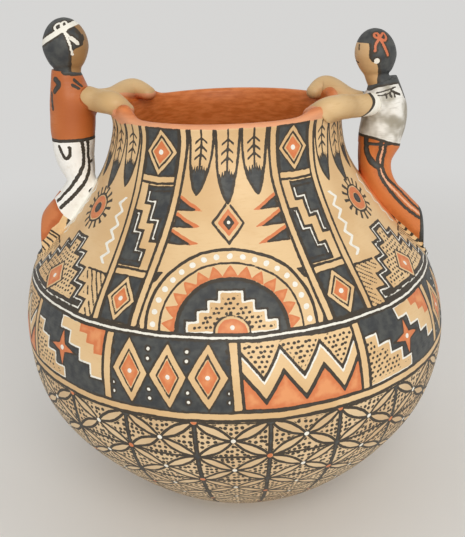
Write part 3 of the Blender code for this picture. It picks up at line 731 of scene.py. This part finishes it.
def paint_shoulder(slip, angle, arc):
    """Panels of a fixed width, so that the fields between them narrow with the jar."""
    start, end = arc_at(UPPER_LINE_HEIGHT) + CREAM_LINE / 2 + FRAME_LINE, arc_at(LIP_START) + 1.2
    tall, wide, radius = end - start, math.tau / FIELDS, radius_at(arc)
    angle = angle + waver(angle, arc, 9) / radius
    y = arc - start + waver(angle, arc, 10)
    number = np.round(angle / wide)
    x = (angle - number * wide) * radius
    p = (angle - (np.floor(angle / wide) + 0.5) * wide) * radius
    frame_half = PANEL_HALF + 2 * PANEL_LINE + PANEL_STRIP
    half = wide / 2 * radius - frame_half
    above = np.maximum(-1.5 - y, y - tall)

    def put(kind, paint, *shapes):
        shut = -BLANK if kind is None else np.where(number % 2 == kind, -BLANK, BLANK)
        lay(slip, paint, *shapes, np.abs(x) - half, above, shut)

    # rainbow arch with teeth and dots over a terrace with a half disc
    out, turn = np.hypot(x, y), np.arctan2(y, x) / math.pi
    put(0, "red", 27.4 - out, out - 27.6 - 5.6 * (1 - np.abs(2 * (turn * ARCH_TEETH % 1) - 1)))
    for reach, width in ARCHES:
        put(0, "black", line(out - reach, width))
    spot = (turn * ARCH_DOTS % 1 - 0.5) * math.pi / ARCH_DOTS * ARCH_DOT_LINE
    put(0, "white", np.hypot(out - ARCH_DOT_LINE, spot) - 1.25)
    put(0, "black", out - 26.0)
    terrace = stairs(x, y, 5.3, 5.0, 4)
    put(0, "tan", terrace)
    put(0, "white", line(terrace, 1.2))
    put(0, "black", speckle(x, y, 2.7, 0.74), terrace + 1.8)
    put(0, "tan", out - 8.6)
    put(0, "black", line(out - 8.2, 0.9))
    put(0, "red", out - 6.6)
    put(0, "white", np.hypot(x, y - 2.6) - 1.0)
    # corner of the arch: rain of fine upright lines under a dark cloud
    put(0, "black", line((np.mod(x / 2.7, 1) - 0.5) * 2.7, 0.95), np.maximum(ARCH_EDGE - out, y - 24) + 0.3)
    put(0, "black", ARCH_EDGE - out, np.abs(y - 26.4) - 2.4)
    # flags from both posts, black with a red edge
    gap = half - np.abs(x)
    for flag in range(3):
        foot_y, long = 43.5 + 8.6 * flag, 15.5 - 1.6 * flag
        edge = (gap / long + (y - foot_y) / FLAG_TALL - 1) * long * FLAG_TALL / math.hypot(long, FLAG_TALL)
        put(0, "red", edge, foot_y - y)
        put(0, "black", edge + 1.5, foot_y - y)
    gem = diamond(x, y - GEM_HEIGHT, 7.6, 10.6)
    put(0, "black", line(gem, 1.3))
    put(0, "red", gem + 2.2)
    put(0, "black", gem + 4.0)
    put(0, "white", np.hypot(x, y - GEM_HEIGHT) - 0.9)
    # stepped pyramid on the band with a jewel, slanted rain beside it, and a sun over it
    pyramid = stairs(x, y, 7.2, 7.4, 5)
    put(1, "black", pyramid)
    put(1, "white", line(pyramid + 1.7, CHALK_LINE))
    put(1, "tan", pyramid + 4.1)
    put(1, "black", speckle(x, y, 2.7, 0.74), pyramid + 5.2)
    for paint, shape in jewel(x, y - MIDDLE_HEIGHT, (9.6, 9.6), (9.0, 9.0), (6.6, 6.6), 1.0, 1.05):
        put(1, paint, shape)
    put(1, "black", line((np.mod((x + y) / 3.6, 1) - 0.5) * 2.55, 0.9), 2.4 - pyramid, y - 22.5)
    put(1, "black", line(y - 22.5, 1.2), 1.5 - pyramid)
    sun = np.hypot(x, y - SUN_HEIGHT)
    rays = np.arctan2(y - SUN_HEIGHT, x) / math.tau * SUN_RAYS % 1
    put(1, "black", line(sun - 7.8, 1.2))
    put(1, "red", sun - 6.4, 3.4 - sun)
    put(1, "black", sun - 2.8)
    put(1, "black", sun - 12.4, 8.0 - sun, (np.abs(rays - 0.5) - 0.14) * 3.6)
    put(1, "white", zigzag(np.abs(x) - half + 6.2, y, 2.0, 7.4, 1.1, 27.0, 63.0))
    # feathers hanging from the lip: a dark tip with a ragged upper edge, a quill and a few barbs
    share = np.clip((x / half + 1) / 2, 0, 0.9999) * FEATHERS
    which = np.floor(share)
    pitch = 2 * half / FEATHERS
    beside, down = np.abs((share - which - 0.5) * pitch), tall - y
    long = FEATHER_LONG + 4.5 * (which == FEATHERS // 2)
    leaf = beside - np.minimum(pitch / 2 - 0.5, 6.4) * np.clip(1 - (down / long) ** 2, 0, 1) ** 0.7
    leaf = np.maximum(leaf, down - long) * 0.9
    ragged = long * 0.52 + 3.4 * np.abs(saw(beside - 0.6, 2.5)) + 0.5 * beside
    put(None, "tan", leaf - 0.8)
    put(None, "black", leaf, (ragged - down) * 0.5)
    put(None, "black", line(leaf, 1.1))
    put(None, "black", line(beside, 1.05), down - long * 0.6)
    for barb in (0.14, 0.26, 0.38):
        put(None, "black", line((down - long * barb - 0.9 * beside) * 0.74, 0.95), beside - 3.0, leaf + 0.4)
    # framed panels
    post = np.abs(p)
    content = np.maximum(post - PANEL_HALF, above)
    lay(slip, "tan", post - frame_half, above)
    for middle in (PANEL_HALF + PANEL_LINE / 2, frame_half - PANEL_LINE / 2):
        lay(slip, "black", line(post - middle, PANEL_LINE), above)

    def fill(paint, low, high, *shapes):
        edge = content - 0.6 if paint == "black" else content + 0.4
        lay(slip, paint, *shapes, edge, low - y, y - high)

    for middle in (JEWEL_HEIGHT, tall - JEWEL_HEIGHT):
        fill("black", middle - 12, middle + 12, content)
        for paint, shape in jewel(p, y - middle, (8.4, 11.2), (5.9, 7.9), (4.1, 5.5), 1.0, 1.05):
            fill(paint, 0, tall, shape)
    for height in (LEVEL_LINE_HEIGHT, tall - LEVEL_LINE_HEIGHT):
        fill("black", 0, tall, line(y - height, 1.3))
    low, high = KEY_HEIGHT, tall - KEY_HEIGHT
    for side in (-1, 1):
        up = y - low if side > 0 else high - y
        key = stairs(side * p + PANEL_HALF, up, 4.5, (high - low) / 4.4, 3)
        fill("black", low, high, key)
        fill("white", low + 3, high - 3, line(key + 1.7, CHALK_LINE), content + 1.5)


def on_shoulder(side, height, across, lift):
    """Point lifted off the jar's outside, and across from the figure's middle plane."""
    slope = np.gradient(outside, outside_arc, axis=0)
    way = np.interp(height, outside[:, 1] - lift * slope[:, 0], outside_arc)
    radius = np.interp(way, outside_arc, outside[:, 0] + lift * slope[:, 1])
    return side * math.sqrt(radius**2 - across**2), across, height


def leg_way(who, across):
    """Hip, seat, knee, shin and sole of a leg, and the roll's half sizes there."""
    side, seat = who["side"], who["seat"]
    lift = (who["knee_lift"] + (who["far_knee"] if across > 0 else 0.0), who["shin_lift"], SOLE_LIFT)
    heights = (who["knee"], (who["knee"] + who["sole"]) / 2, who["sole"])
    lower = [on_shoulder(side, z, across * w[0], up) for z, w, up in zip(heights, LEG_SIZES[2:], lift)]
    seat_x = who["waist"] - WAIST_DEPTH / 2 + seat + who["seat_out"]
    path = [
        (side * who["waist"], across, who["belt"]),
        (side * seat_x, across * (1 + seat / 5), who["belt"] - seat), *lower,
    ]
    return path, [(seat, seat) if size is None else size for size in LEG_SIZES]


def from_roll(grid, path, sizes):
    """Distance of points to a roll of clay: the least distance to a row of balls along it."""
    far = np.full(grid.shape[:-1], BLANK)
    for ball in smooth_curve(np.c_[path, np.asarray(sizes).mean(1)], ROLL_BALLS):
        far = np.minimum(far, np.linalg.norm(grid - ball[:3], axis=-1) - ball[3])
    return far


def wall_place(grid):
    """Angle from the viewer's side, way up the outside and distance of the wall's nearest point:
    the distance is (a point's radius - the wall's) times the wall's slope."""
    x, y, z = np.moveaxis(2 * grid - settled(grid), -1, 0)
    angle, height = np.arctan2(x, -y), np.clip(z, 0, LIP_START)
    run, rise = (np.interp(height, outside[:, 1], np.gradient(side, outside_arc)) for side in outside.T)
    far = (np.hypot(x, y) - boot_clay(angle, height) - np.interp(height, outside[:, 1], outside[:, 0])) * rise
    return angle, arc_at(np.clip(height + far * run, 0, LIP_START)), far


def unit(vectors):
    """Vectors of length one."""
    return vectors / np.maximum(np.linalg.norm(vectors, axis=-1, keepdims=True), 1e-9)


def outward(grid):
    """Normal of a grid that goes once round: the cross product of its changes along and up."""
    return unit(np.cross(np.roll(grid, -1, 1) - np.roll(grid, 1, 1), np.gradient(grid, axis=0)))


def luted(grid, far, reach):
    """Clay smoothed onto its neighbour: at a distance b from it, below reach in size, the surface
    swells along its normal by reach / 2 * (1 - |b| / reach) squared."""
    swell = reach / 2 * np.clip(1 - np.abs(far) / reach, 0, 1) ** 2
    return grid + outward(grid) * swell[..., None]


section, angle = wall_ring(joints[2], joints[3], 84, 1040)
slip, grid = dressed(section, angle, paint_shoulder, paint_upper_line), wall_points(section, angle)
height, way = section[:, 1:2], section[:, 2:3]
for who in (LEFT, RIGHT):
    for across in (-1, 1):
        far = from_roll(grid, *leg_way(who, across)) + np.where(section[:, 3:] > 0.5, 0, BLANK)
        edge = who["smear"] * eased(height, who["sole"] + 4, who["sole"] + 16) + 2.2 * waver(angle, way, 14)
        lay(slip, who["trousers"], far - edge, who["sole"] + 6 - height)
        grid = luted(grid, far, 3.0)
skin_grid("shoulder_wall", grid, slip, tan_slip, ring=True, strips=4)

# Neck wall: the last wide coil, drawn in and up. The painted design goes on over it to the
# lip, and its inside is lined with red slip, which shows through the mouth.
section, angle = wall_ring(joints[3], joints[4], 64, 1000, 24)
slip = dressed(section, angle, paint_shoulder)
skin_grid("neck_wall", wall_points(section, angle), slip, tan_slip, ring=True, strips=6)

# Rim coil: the thin top coil, rounded between two wet fingers. Red slip covers its inside and
# the lip, and five pads of clay rise from it where it was pressed up against the hands.
RED_EDGE_HEIGHT, PAD_START, PAD_WIDTH, RIM_ROWS = 233.2, 229.0, 7.5, 22
# side, degrees towards the viewer and height of each pad
PADS = ((-1, 31.0, 4.8), (-1, -14.0, 2.4), (-1, -37.0, 4.2), (1, 45.0, 2.8), (1, -15.0, 3.6))


def pad_height(points):
    """Sum over the pads of h * exp(-(d / w)^2), with d the degrees from a pad's middle."""
    tall = 0.0
    for side, toward_viewer, height in PADS:
        turned = np.degrees(np.arctan2(-points[..., 1], side * points[..., 0])) - toward_viewer
        tall = tall + height * np.exp(-((((turned + 180) % 360 - 180) / PAD_WIDTH) ** 2))
    return tall


section, angle = wall_ring(joints[4], LIP_START, RIM_ROWS, 900, RIM_ROWS)
outer_top, inner_top = section[RIM_ROWS - 1], section[RIM_ROWS]
turn = np.linspace(0, math.pi, 18)[1:-1]
lip_middle, lip_half = (outer_top[0] + inner_top[0]) / 2, (outer_top[0] - inner_top[0]) / 2
lip = np.c_[
    lip_middle + lip_half * np.cos(turn), LIP_START + (LIP_TOP - LIP_START) * np.sin(turn),
    outer_top[2] + lip_half * turn, 1 + 0 * turn,
]
section = np.vstack((section[:RIM_ROWS], lip, section[RIM_ROWS:]))
height, way = section[:, 1:2], section[:, 2:3]
grid = wall_points(section, angle)
slip = blank_slip(grid.shape[:2])
paint_shoulder(slip, angle, way)
pad = pad_height(grid)
# the red starts below the lip, and from the crest inwards it only gets further from its edge
edge = RED_EDGE_HEIGHT - height + 0.5 * waver(angle, way, 12) - 0.5 * pad
crest = RIM_ROWS + len(lip) // 2
over = np.cumsum(np.linalg.norm(np.diff(section[crest - 1 :, :2], axis=0), axis=1))[:, None]
lay(slip, "lining", np.vstack((edge[:crest], np.maximum(edge[crest - 1] - over, -LINING_DEPTH))))
pad = pad * eased(height, PAD_START, LIP_TOP)
grid = grid + outward(grid) * (0.3 * pad)[..., None]
grid[..., 2] += pad
skin_grid("rim_coil", grid, slip, tan_slip, ring=True, strips=6)

# Left figure, legs: two rolls of clay bent at the knee, pressed on the wet shoulder and smoothed
# down at their edges, with flat-cut soles. White slip for the trousers with black side stripes
# and a pocket, and a rust-red boot. The far leg mirrors the near one.
PARTS = (("near", -1), ("far", 1))
# points along and round a leg, and balls along a brush stroke
LEG_GRID, STROKE_BALLS = (190, 132), 70
# brush strokes: the width and then the points, as drawn on the near side
LEFT_STRIPES = (
    (
        2.1, (-82.6, -11.1, 219), (-81.7, -11, 213), (-82.2, -11.7, 207.5), (-86, -14.4, 199.7),
        (-93.1, -14.4, 191.5), (-99.9, -13.4, 184.5),
    ),
    (
        2.1, (-79.7, -8.6, 219), (-79.3, -8.2, 212.1), (-79.8, -8.9, 206), (-81.5, -11.9, 199),
        (-87.3, -15.2, 191), (-97.7, -15.6, 182),
    ),
)
LEFT_MARKS = (
    (
        1.7, (-95.3, -12, 216.2), (-93.7, -13.2, 211.6), (-92.1, -13.8, 209.5), (-90.1, -14.2, 210.6),
        (-89.2, -14, 213.7), (-89.3, -13.7, 215.8),
    ),
    (1.2, (-80.1, -9.4, 206.1), (-78.2, -3.4, 206.6)),
    (1.3, (-79.6, -7.5, 193.6), (-82, -11.3, 190.3)),
)


def rolled(path, sizes, across, rows, sides):
    """Roll of clay: at turn t the point centre + wide * cos(t) * side + thick * sin(t) * up, with
    side square to the path and to a steady direction. Both ends are half balls."""
    curve = smooth_curve(np.c_[path, sizes], rows)
    centre, size = curve[:, :3], curve[:, 3:]
    ahead = unit(np.gradient(centre, axis=0))
    turn = np.radians(np.linspace(6, 84, 12))[:, None]
    centre = np.vstack((
        centre[0] - ahead[0] * size[0].mean() * np.sin(turn[::-1]), centre,
        centre[-1] + ahead[-1] * size[-1].mean() * np.sin(turn),
    ))
    ahead = np.vstack((0 * turn + ahead[0], ahead, 0 * turn + ahead[-1]))
    size = np.vstack((size[0] * np.cos(turn[::-1]), size, size[-1] * np.cos(turn)))
    side = unit(np.cross(across, ahead))
    up = np.cross(ahead, side)
    t = math.tau * np.arange(sides)[None, :, None] / sides
    wide, thick = size[:, None, :1] * np.cos(t), size[:, None, 1:] * np.sin(t)
    return centre[:, None] + wide * side[:, None] + thick * up[:, None]


def softly_below(value, limit, soft):
    """Smooth minimum of a value and a limit: their mean less half the root of the gap squared plus
    soft squared."""
    return (value + limit - np.sqrt((value - limit) ** 2 + soft**2)) / 2


def kneaded(grid):
    """Finger marks: slow waves in x, y and z push the surface in and out by up to a quarter mm."""
    x, y, z = np.moveaxis(grid, -1, 0)
    wave = np.sin(x / 3.1 + 1.3 * np.sin(z / 4.3)) + np.sin(z / 3.7 + 1.1 * np.sin(y / 3.3))
    wave += np.sin(y / 2.9 + x / 5.1)
    return grid + outward(grid) * (0.08 * wave)[..., None]


def leg_grid(who, across):
    """A leg cut flat at the belt and at the sole, and smoothed onto the shoulder."""
    grid = rolled(*leg_way(who, across), (0.0, 1.0, 0.0), *LEG_GRID)
    grid = kneaded(luted(grid, wall_place(grid)[2], 3.6))
    grid[..., 2] = softly_below(grid[..., 2], who["belt"] + 0.6, 1.0)
    grid[..., 0] = who["side"] * softly_below(who["side"] * grid[..., 0], who["sole_plane"] + 0.9, 1.6)
    return grid


def stroke(grid, points, width):
    """Brush stroke on a piece: mm outside the nearest of many balls. Their middles are the points
    of the surface nearest to a spline through the stroke's points."""
    far = np.full(grid.shape[:-1], BLANK)
    for point in smooth_curve(points, STROKE_BALLS):
        touched = grid.reshape(-1, 3)[np.argmin(((grid - point) ** 2).sum(-1))]
        far = np.minimum(far, np.linalg.norm(grid - touched, axis=-1))
    return far - width / 2 + UNDERLAP


def brush(slip, paint, grid, strokes, *within):
    """Lay strokes of one paint, each given as its width and its points, within other shapes."""
    for width, *points in strokes:
        lay(slip, paint, stroke(grid, points, width), *within)


def leg_slip(grid):
    """The wall's design goes on over the clay that joins a leg to it."""
    slip = blank_slip(grid.shape[:2])
    angle, way, _ = wall_place(grid)
    paint_shoulder(slip, angle, way)
    paint_upper_line(slip, angle, way)
    return slip


def on_near_side(grid, across=None):
    """The grid with its far side, or a far piece, mirrored onto the near side, where the strokes
    are drawn."""
    flip = -np.sign(grid[..., 1:2] + 1e-9) if across is None else -across
    return np.concatenate((grid[..., :1], grid[..., 1:2] * flip, grid[..., 2:]), -1)


white_trousers = painted_slip(
    "white_slip_of_trousers", full_red="#bd652f", thin_red="#d07c47", full_white="#fffefa"
)
for part, across in PARTS:
    grid = leg_grid(LEFT, across)
    slip, near = leg_slip(grid), on_near_side(grid, across)
    x, y, z = np.moveaxis(near, -1, 0)
    boot = 0.85 * x + 0.53 * z - 12.0 + 0.6 * np.sin(y / 1.7)
    lay(slip, "white", -boot)
    lay(slip, "red", boot, (279.1 - z + 1.05 * x) / 1.45 + 0.4 * np.sin(x / 1.3))
    brush(slip, "black", near, LEFT_STRIPES, 0.8 - boot)
    brush(slip, "black", near, LEFT_MARKS)
    lay(slip, "black", LEFT["belt"] - 0.6 - z)
    skin_grid(f"left_{part}_leg", grid, slip, white_trousers)

# Left figure, torso: an oval slug of clay set on the legs and bowed towards the jar, in a
# rust-red shirt with a dark collar, hem and brush marks.
RIM_RADIUS, SHOULDER_RISE, TIP_DROP, TORSO_GRID = 63.2, 22.5, (3.4, 2.6), (130, 168)
ARM_SIZES = ((6.2, 6.2), (6.2, 6.2), (6.3, 5.8), (4.8, 4.2))
# share of the torso's height, shares of its depth and breadth there, and share of the bow
TORSO_OVALS = (
    (0.00, 1.00, 1.00, 0.0), (0.15, 1.05, 1.00, 0.3), (0.37, 1.06, 0.98, 0.8), (0.58, 1.01, 0.98, 1.0),
    (0.76, 0.89, 0.93, 0.8), (0.89, 0.76, 0.78, 0.4), (1.00, 0.65, 0.61, 0.1),
)


def arm_way(who, across):
    """Shoulder, wrist, palm on the lip and finger tips inside it, and the roll's half sizes."""
    side, far = who["side"], int(across > 0)
    turn, drop = math.radians(who["reaches"][far]), far * who["far_drop"]
    shoulder_x = who["waist"] + who["bow"] - who["shoulder_in"]
    shoulder = np.array((side * shoulder_x, across * who["shoulder_gap"], who["belt"] + SHOULDER_RISE - drop))
    palm = settled(np.array((
        side * math.cos(turn) * RIM_RADIUS, across * math.sin(turn) * RIM_RADIUS, LIP_TOP + who["lifts"][far]
    )))
    tips = palm * (1 - who["tips"][far] / RIM_RADIUS)
    tips[2] = palm[2] - TIP_DROP[far]
    return [shoulder, (shoulder + palm) / 2 - (0, 0, drop / 2), palm, tips], ARM_SIZES


def torso_grid(who):
    """Ovals of depth and breadth from the belt to the collar, swollen where the arms join. The
    collar is higher at the back: by a mean plus a reach times the cosine of the turn."""
    # the share of the height counts ten times in the spline, so that it rises evenly
    rows, columns = TORSO_GRID
    up, deep, broad, bow = smooth_curve(np.array(TORSO_OVALS) * (10, 1, 1, 1), rows).T[:, :, None]
    up, turn = up / 10.0, math.tau * np.arange(columns) / columns
    out = who["waist"] + who["bow"] * bow + WAIST_DEPTH / 2 * deep * np.cos(turn)
    y = WAIST_BREADTH / 2 * broad * np.sin(turn)
    rise = who["collar"][0] + who["collar"][1] * np.cos(turn)
    z = who["belt"] + TORSO_LONG * up + rise * eased(up, 0.7, 1.0)
    grid = np.stack((who["side"] * out, y * who["side"], z), -1)
    for across in (-1, 1):
        grid = luted(grid, from_roll(grid, *arm_way(who, across)), 4.0)
    return kneaded(grid)


shirt_slip = painted_slip("rust_red_slip_of_shirt", ground="#cb7438", deep_ground="#b8622b")
grid = torso_grid(LEFT)
slip, near = blank_slip(grid.shape[:2]), on_near_side(grid)
brush(slip, "black", near, (
    (
        3.4, (-88.5, -7.9, 255.8), (-85, -7.3, 255.4), (-82.4, -4.9, 255), (-81.4, -1.5, 254.8),
        (-81.4, 1.5, 254.8),
    ),
    (1.8, (-83.9, -7.3, 251.1), (-79.7, -7.8, 248.6)),
    (1.6, (-84.6, -9.4, 248.9), (-81, -9.4, 246.8)),
    (2.8, (-93.3, -7.1, 252), (-91.5, -9.5, 249.2), (-94.4, -9.5, 246)),
    (2.2, (-96.6, -7.7, 244.8), (-96.8, -9, 236.5)),
))
lay(slip, "black", near[..., 2] - LEFT["belt"] - 0.9)
skin_grid("left_torso", grid, slip, shirt_slip)

# Left figure, arms: rolls of clay from the shirt to the lip with mitten hands. They are left in
# the tan slip, except for the shoulder and where the lip's red was brushed up against the hand.
ARM_GRID = (150, 96)


def from_lip(grid):
    """Distance of points to the lip: to a ring above its start, to the two wall faces below it."""
    grid = 2 * grid - settled(grid)
    beside = np.abs(np.hypot(grid[..., 0], grid[..., 1]) - RIM_RADIUS)
    return np.hypot(beside, np.maximum(grid[..., 2] - LIP_START, 0)) - lip_half


def arm_grid(who, across):
    """An arm with a mitten hand, smoothed onto the lip."""
    grid = rolled(*arm_way(who, across), (0.0, 0.0, 1.0), *ARM_GRID)
    return kneaded(luted(grid, from_lip(grid), 3.0))


def lip_red(grid, beyond, above=0.2):
    """The part of a hand over the lip and below the top of its pads, for the lip's red slip."""
    top = grid[..., 2] - LIP_TOP - 0.9 * pad_height(grid) - above
    return np.maximum(top, np.hypot(grid[..., 0], grid[..., 1]) - RIM_RADIUS - beyond)


skin_slip = painted_slip(
    "tan_slip_of_arms", ground="#e4c391", deep_ground="#d0aa74", full_red="#b8622b", thin_red="#cb7438"
)
for part, across in PARTS:
    grid = arm_grid(LEFT, across)
    slip = blank_slip(grid.shape[:2])
    x, y, z = np.moveaxis(grid, -1, 0)
    lay(slip, "lining", lip_red(grid, 3.6, 0.2 if part == "near" else 3.6))
    lay(slip, "red", x + 80.6 - 3.2 * np.minimum(((z - 243.0) / 4.4) ** 2, 1.2))
    skin_grid(f"left_{part}_arm", grid, slip, skin_slip)

# Left figure, head: an egg of clay on the collar. The face's tan slip is darkened as painted shade,
# the hair is black, and a white band with a bow is painted round it.
HEAD_GRID = (160, 168)
LEFT_BOW = (
    (
        1.5, (-85.5, -9.7, 276.7), (-87.1, -7.5, 280.1), (-85.6, -5.6, 281.5), (-84.1, -7.4, 279.4),
        (-85, -9.4, 276.9),
    ),
    (
        1.5, (-85.4, -9.8, 276.4), (-89.2, -9.5, 277.2), (-90.7, -7.9, 279), (-88.6, -6.9, 280.6),
        (-85.5, -9.6, 276.9),
    ),
    (1.5, (-85.4, -9.8, 276.4), (-82.4, -10, 273.3), (-79, -8.4, 270)),
    (1.5, (-85.4, -10, 276.1), (-83.3, -11, 270.7), (-82.6, -10, 264.9)),
    (2.3, (-82.4, -10, 273.3), (-79.6, -8.6, 270.6)),
)


def head_grid(who):
    """Egg: half depth, half breadth and middle as a spline of height, from the throat inside the
    collar over the slimmed jaw to the crown."""
    long, collar, waist, lean = who["head_long"], who["belt"] + TORSO_LONG, who["waist"], who["lean"]
    turn = np.radians(np.r_[np.arange(-46, 80, 9), 86])
    level = np.cos(turn) * (1 + 0.16 * np.minimum(0, np.sin(turn))) * long / 2
    table = np.c_[
        collar + long / 2 + long / 2 * np.sin(turn), 0.815 * level, 0.78 * level,
        waist - lean * (1 + np.sin(turn) / 4),
    ]
    throat = [(collar - 3.0, 7.4, 7.4, waist), (collar + 0.3, 7.6, 7.6, waist - lean * 0.3)]
    rows, columns = HEAD_GRID
    z, deep, broad, middle = smooth_curve(np.vstack((throat, table)), rows).T[:, :, None]
    turn = math.tau * np.arange(columns) / columns
    out = middle + deep * np.cos(turn)
    return np.stack((who["side"] * out, who["side"] * broad * np.sin(turn), z + 0 * out), -1)


# painted shade: the same face slip as the right head's, given a darker, browner tone
shaded_left_face_slip = painted_slip("tan_slip_of_face_with_painted_shade", ground="#b48c5d", deep_ground="#977145")
grid = head_grid(LEFT)
slip, near = blank_slip(grid.shape[:2]), on_near_side(grid)
x, y, z = np.moveaxis(grid, -1, 0)
hair_line = np.interp(
    z, (250, 257, 262, 266.5, 267.8, 268.4, 269.3, 273, 277.2, 280.5, 281.5),
    (-85.4, -85, -83.7, -82.6, -80.8, -79, -77.5, -77, -79.3, -82.5, -70),
)
lay(slip, "black", (x - hair_line) * 0.6)
lay(slip, "white", line((z - 276.9 - 0.52 * (x + 87.9)) * 0.88, 2.9))
brush(slip, "white", grid, LEFT_BOW)
brush(slip, "black", near, ((0.9, (-77.0, -4.1, 274.3), (-76.6, -4.6, 272)),))
skin_grid("left_head", grid, slip, shaded_left_face_slip)

# Right figure, legs: as on the left, in rust-red trousers with a double stripe, a dark pocket
# line and dark soles. Their tops are white where the shirt hangs over them.
RIGHT_MARKS = (
    (
        1.9, (85, -12.9, 217), (84.8, -12.9, 212), (83.5, -12.3, 204), (83.3, -12.8, 199.2),
        (85.4, -14.4, 192.5), (93.1, -15.8, 181.7), (100.5, -16.1, 174.2), (109, -15.8, 168),
    ),
    (
        1.9, (87.6, -12.9, 217), (87.3, -12.9, 212), (86.8, -12.5, 203.5), (86.3, -12.7, 199.8),
        (87.7, -13.8, 194), (96.3, -12.8, 184.4), (102.7, -13.2, 178), (109.4, -12.7, 172),
    ),
    (
        3.6, (77.6, -8.2, 217), (77.3, -7.9, 211.6), (77.2, -8.3, 208.1), (78.9, -10.1, 203.3),
        (81.1, -11.9, 200.3), (83.3, -12.8, 199.2),
    ),
)
RIGHT_BETWEEN = (
    (
        1.9, (86.2, -13, 217), (86, -13, 212), (85.1, -12.5, 203.8), (84.8, -12.9, 199.5),
        (86.6, -14.3, 193.2), (94.7, -14.6, 183), (101.6, -14.8, 176), (109.2, -14.3, 170),
    ),
)
HEM_OUT, HEM_HEIGHT = (74.3, 77.6, 82.3, 87.2, 93.9, 98.0), (215.4, 215.2, 214.3, 212.7, 210.4, 209.0)


def above_hem(grid):
    """Height above the right shirt's hem, which slants down away from the jar."""
    return grid[..., 2] - np.interp(grid[..., 0], HEM_OUT, HEM_HEIGHT)


red_trousers = painted_slip(
    "rust_red_slip_of_trousers", full_red="#c56c30", thin_red="#d97d3f",
    lining_red="#e6a283", wiped_red="#eab396",
)
for part, across in PARTS:
    grid = leg_grid(RIGHT, across)
    slip, near = leg_slip(grid), on_near_side(grid, across)
    x, y, z = np.moveaxis(near, -1, 0)
    lay(slip, "red", (254.1 - z - 0.905 * x) / 1.35)
    brush(slip, "lining", near, RIGHT_BETWEEN)
    brush(slip, "black", near, RIGHT_MARKS)
    lay(slip, "black", RIGHT["sole_plane"] - 1.5 - x, 154.0 - z)
    lay(slip, "white", -above_hem(near))
    lay(slip, "black", line(above_hem(near), 1.5))
    skin_grid(f"right_{part}_leg", grid, slip, red_trousers)

# Right figure, torso: bowed away from the jar, in a white shirt with a dark yoke that runs down
# the back, and fine brush marks at the shoulder. The trousers show under the hem in front.
# grey mottles: white slip run thin over a darker ground, made darker still as painted shade
white_shirt = painted_slip(
    "white_slip_of_shirt", cloud=10.0, ground="#fbf9f3", deep_ground="#a59e8e",
    full_red="#c0692f", thin_red="#d97d3f",
)
grid = torso_grid(RIGHT)
slip, near = blank_slip(grid.shape[:2]), on_near_side(grid)
x, y, z = np.moveaxis(near, -1, 0)
lay(slip, "red", above_hem(near))
brush(slip, "black", near, RIGHT_MARKS, above_hem(near))
lay(slip, "black", line(above_hem(near), 1.5))
lay(slip, "black", np.interp(x, (78, 82, 87, 91), (239.8, 242, 242.9, 243.4)) - z)
lay(slip, "black", -y - 5.8, 90.5 - x, (-y) * 0.5 + 233.0 - z)
brush(slip, "black", near, (
    (0.9, (81.3, -10.7, 239.5), (86.4, -10.9, 240.5), (91.6, -8.5, 241.4)),
    (0.7, (81.4, -11.6, 237.9), (84.5, -12.4, 238.4), (88, -12.0, 239.2)),
    (1.1, (86, -12.5, 239), (86.9, -13.6, 237.1)),
    (1.2, (88.3, -11.7, 239.3), (89.3, -12.4, 237.1)),
    (1.4, (89.4, -10.5, 240), (92, -10.4, 238.8), (94.3, -9, 237.8)),
    (1.0, (90.6, -10.6, 239.2), (91.3, -11.3, 236.9)),
))
skin_grid("right_torso", grid, slip, white_shirt)

# Right figure, arms: rolls of clay from the shirt to the lip, as on the left, but with a short
# white sleeve that ends in a dark cuff.
for part, across in PARTS:
    grid = arm_grid(RIGHT, across)
    slip = blank_slip(grid.shape[:2])
    x, y, z = np.moveaxis(grid, -1, 0)
    if part == "near":
        lay(slip, "lining", lip_red(grid, 0.4))
    sleeve = 78.9 - 3.6 * ((z - 235.5) / 5.6) ** 2 - x
    lay(slip, "white", sleeve)
    lay(slip, "black", line(sleeve, 1.9))
    skin_grid(f"right_{part}_arm", grid, slip, skin_slip)

# Right figure, head: black hair cut in a square fringe, with an orange bow, a white ear stud,
# and an eye and a mouth in one stroke each.
right_head_slip = painted_slip(
    "tan_slip_of_face", ground="#dfb987", deep_ground="#caa06d", full_red="#d4744b", thin_red="#dd8d6c"
)
grid = head_grid(RIGHT)
slip, near = blank_slip(grid.shape[:2]), on_near_side(grid)
x, y, z = np.moveaxis(near, -1, 0)
hair_line = np.interp(
    z, (244, 249.3, 253.7, 255.1, 255.7, 257.6, 265.2, 265.8), (82.4, 82.7, 81.9, 80.7, 78.6, 77, 76.9, 66)
)
lay(slip, "black", (hair_line - x) * 0.6)
brush(slip, "black", near, (
    (1.0, (72.2, -4.1, 264.4), (72, -4.9, 261.9)),
    (0.8, (71, -0.5, 255.4), (72.3, -3.2, 254.9)),
))
lay(slip, "white", np.linalg.norm(near - (80.8, -10.2, 256.2), axis=-1) - 1.5)
brush(slip, "red", grid, (
    (
        1.6, (81.9, -8.2, 267.7), (80.1, -7.8, 268.1), (79.5, -6.5, 269.6), (80.9, -6.1, 270.1),
        (81.8, -7.9, 268.1),
    ),
    (
        1.6, (82.3, -8.2, 267.7), (84.9, -8.4, 266.4), (85.9, -6.7, 268.1), (84.8, -5.3, 269.9),
        (82.7, -7.8, 268.1),
    ),
    (1.6, (81.9, -8.6, 267.2), (80, -9.7, 264.5), (79.6, -10.5, 261.2)),
    (1.6, (82.4, -8.5, 267.2), (84.5, -9.8, 263.6), (86.7, -10, 258.9)),
))
skin_grid("right_head", grid, slip, right_head_slip)
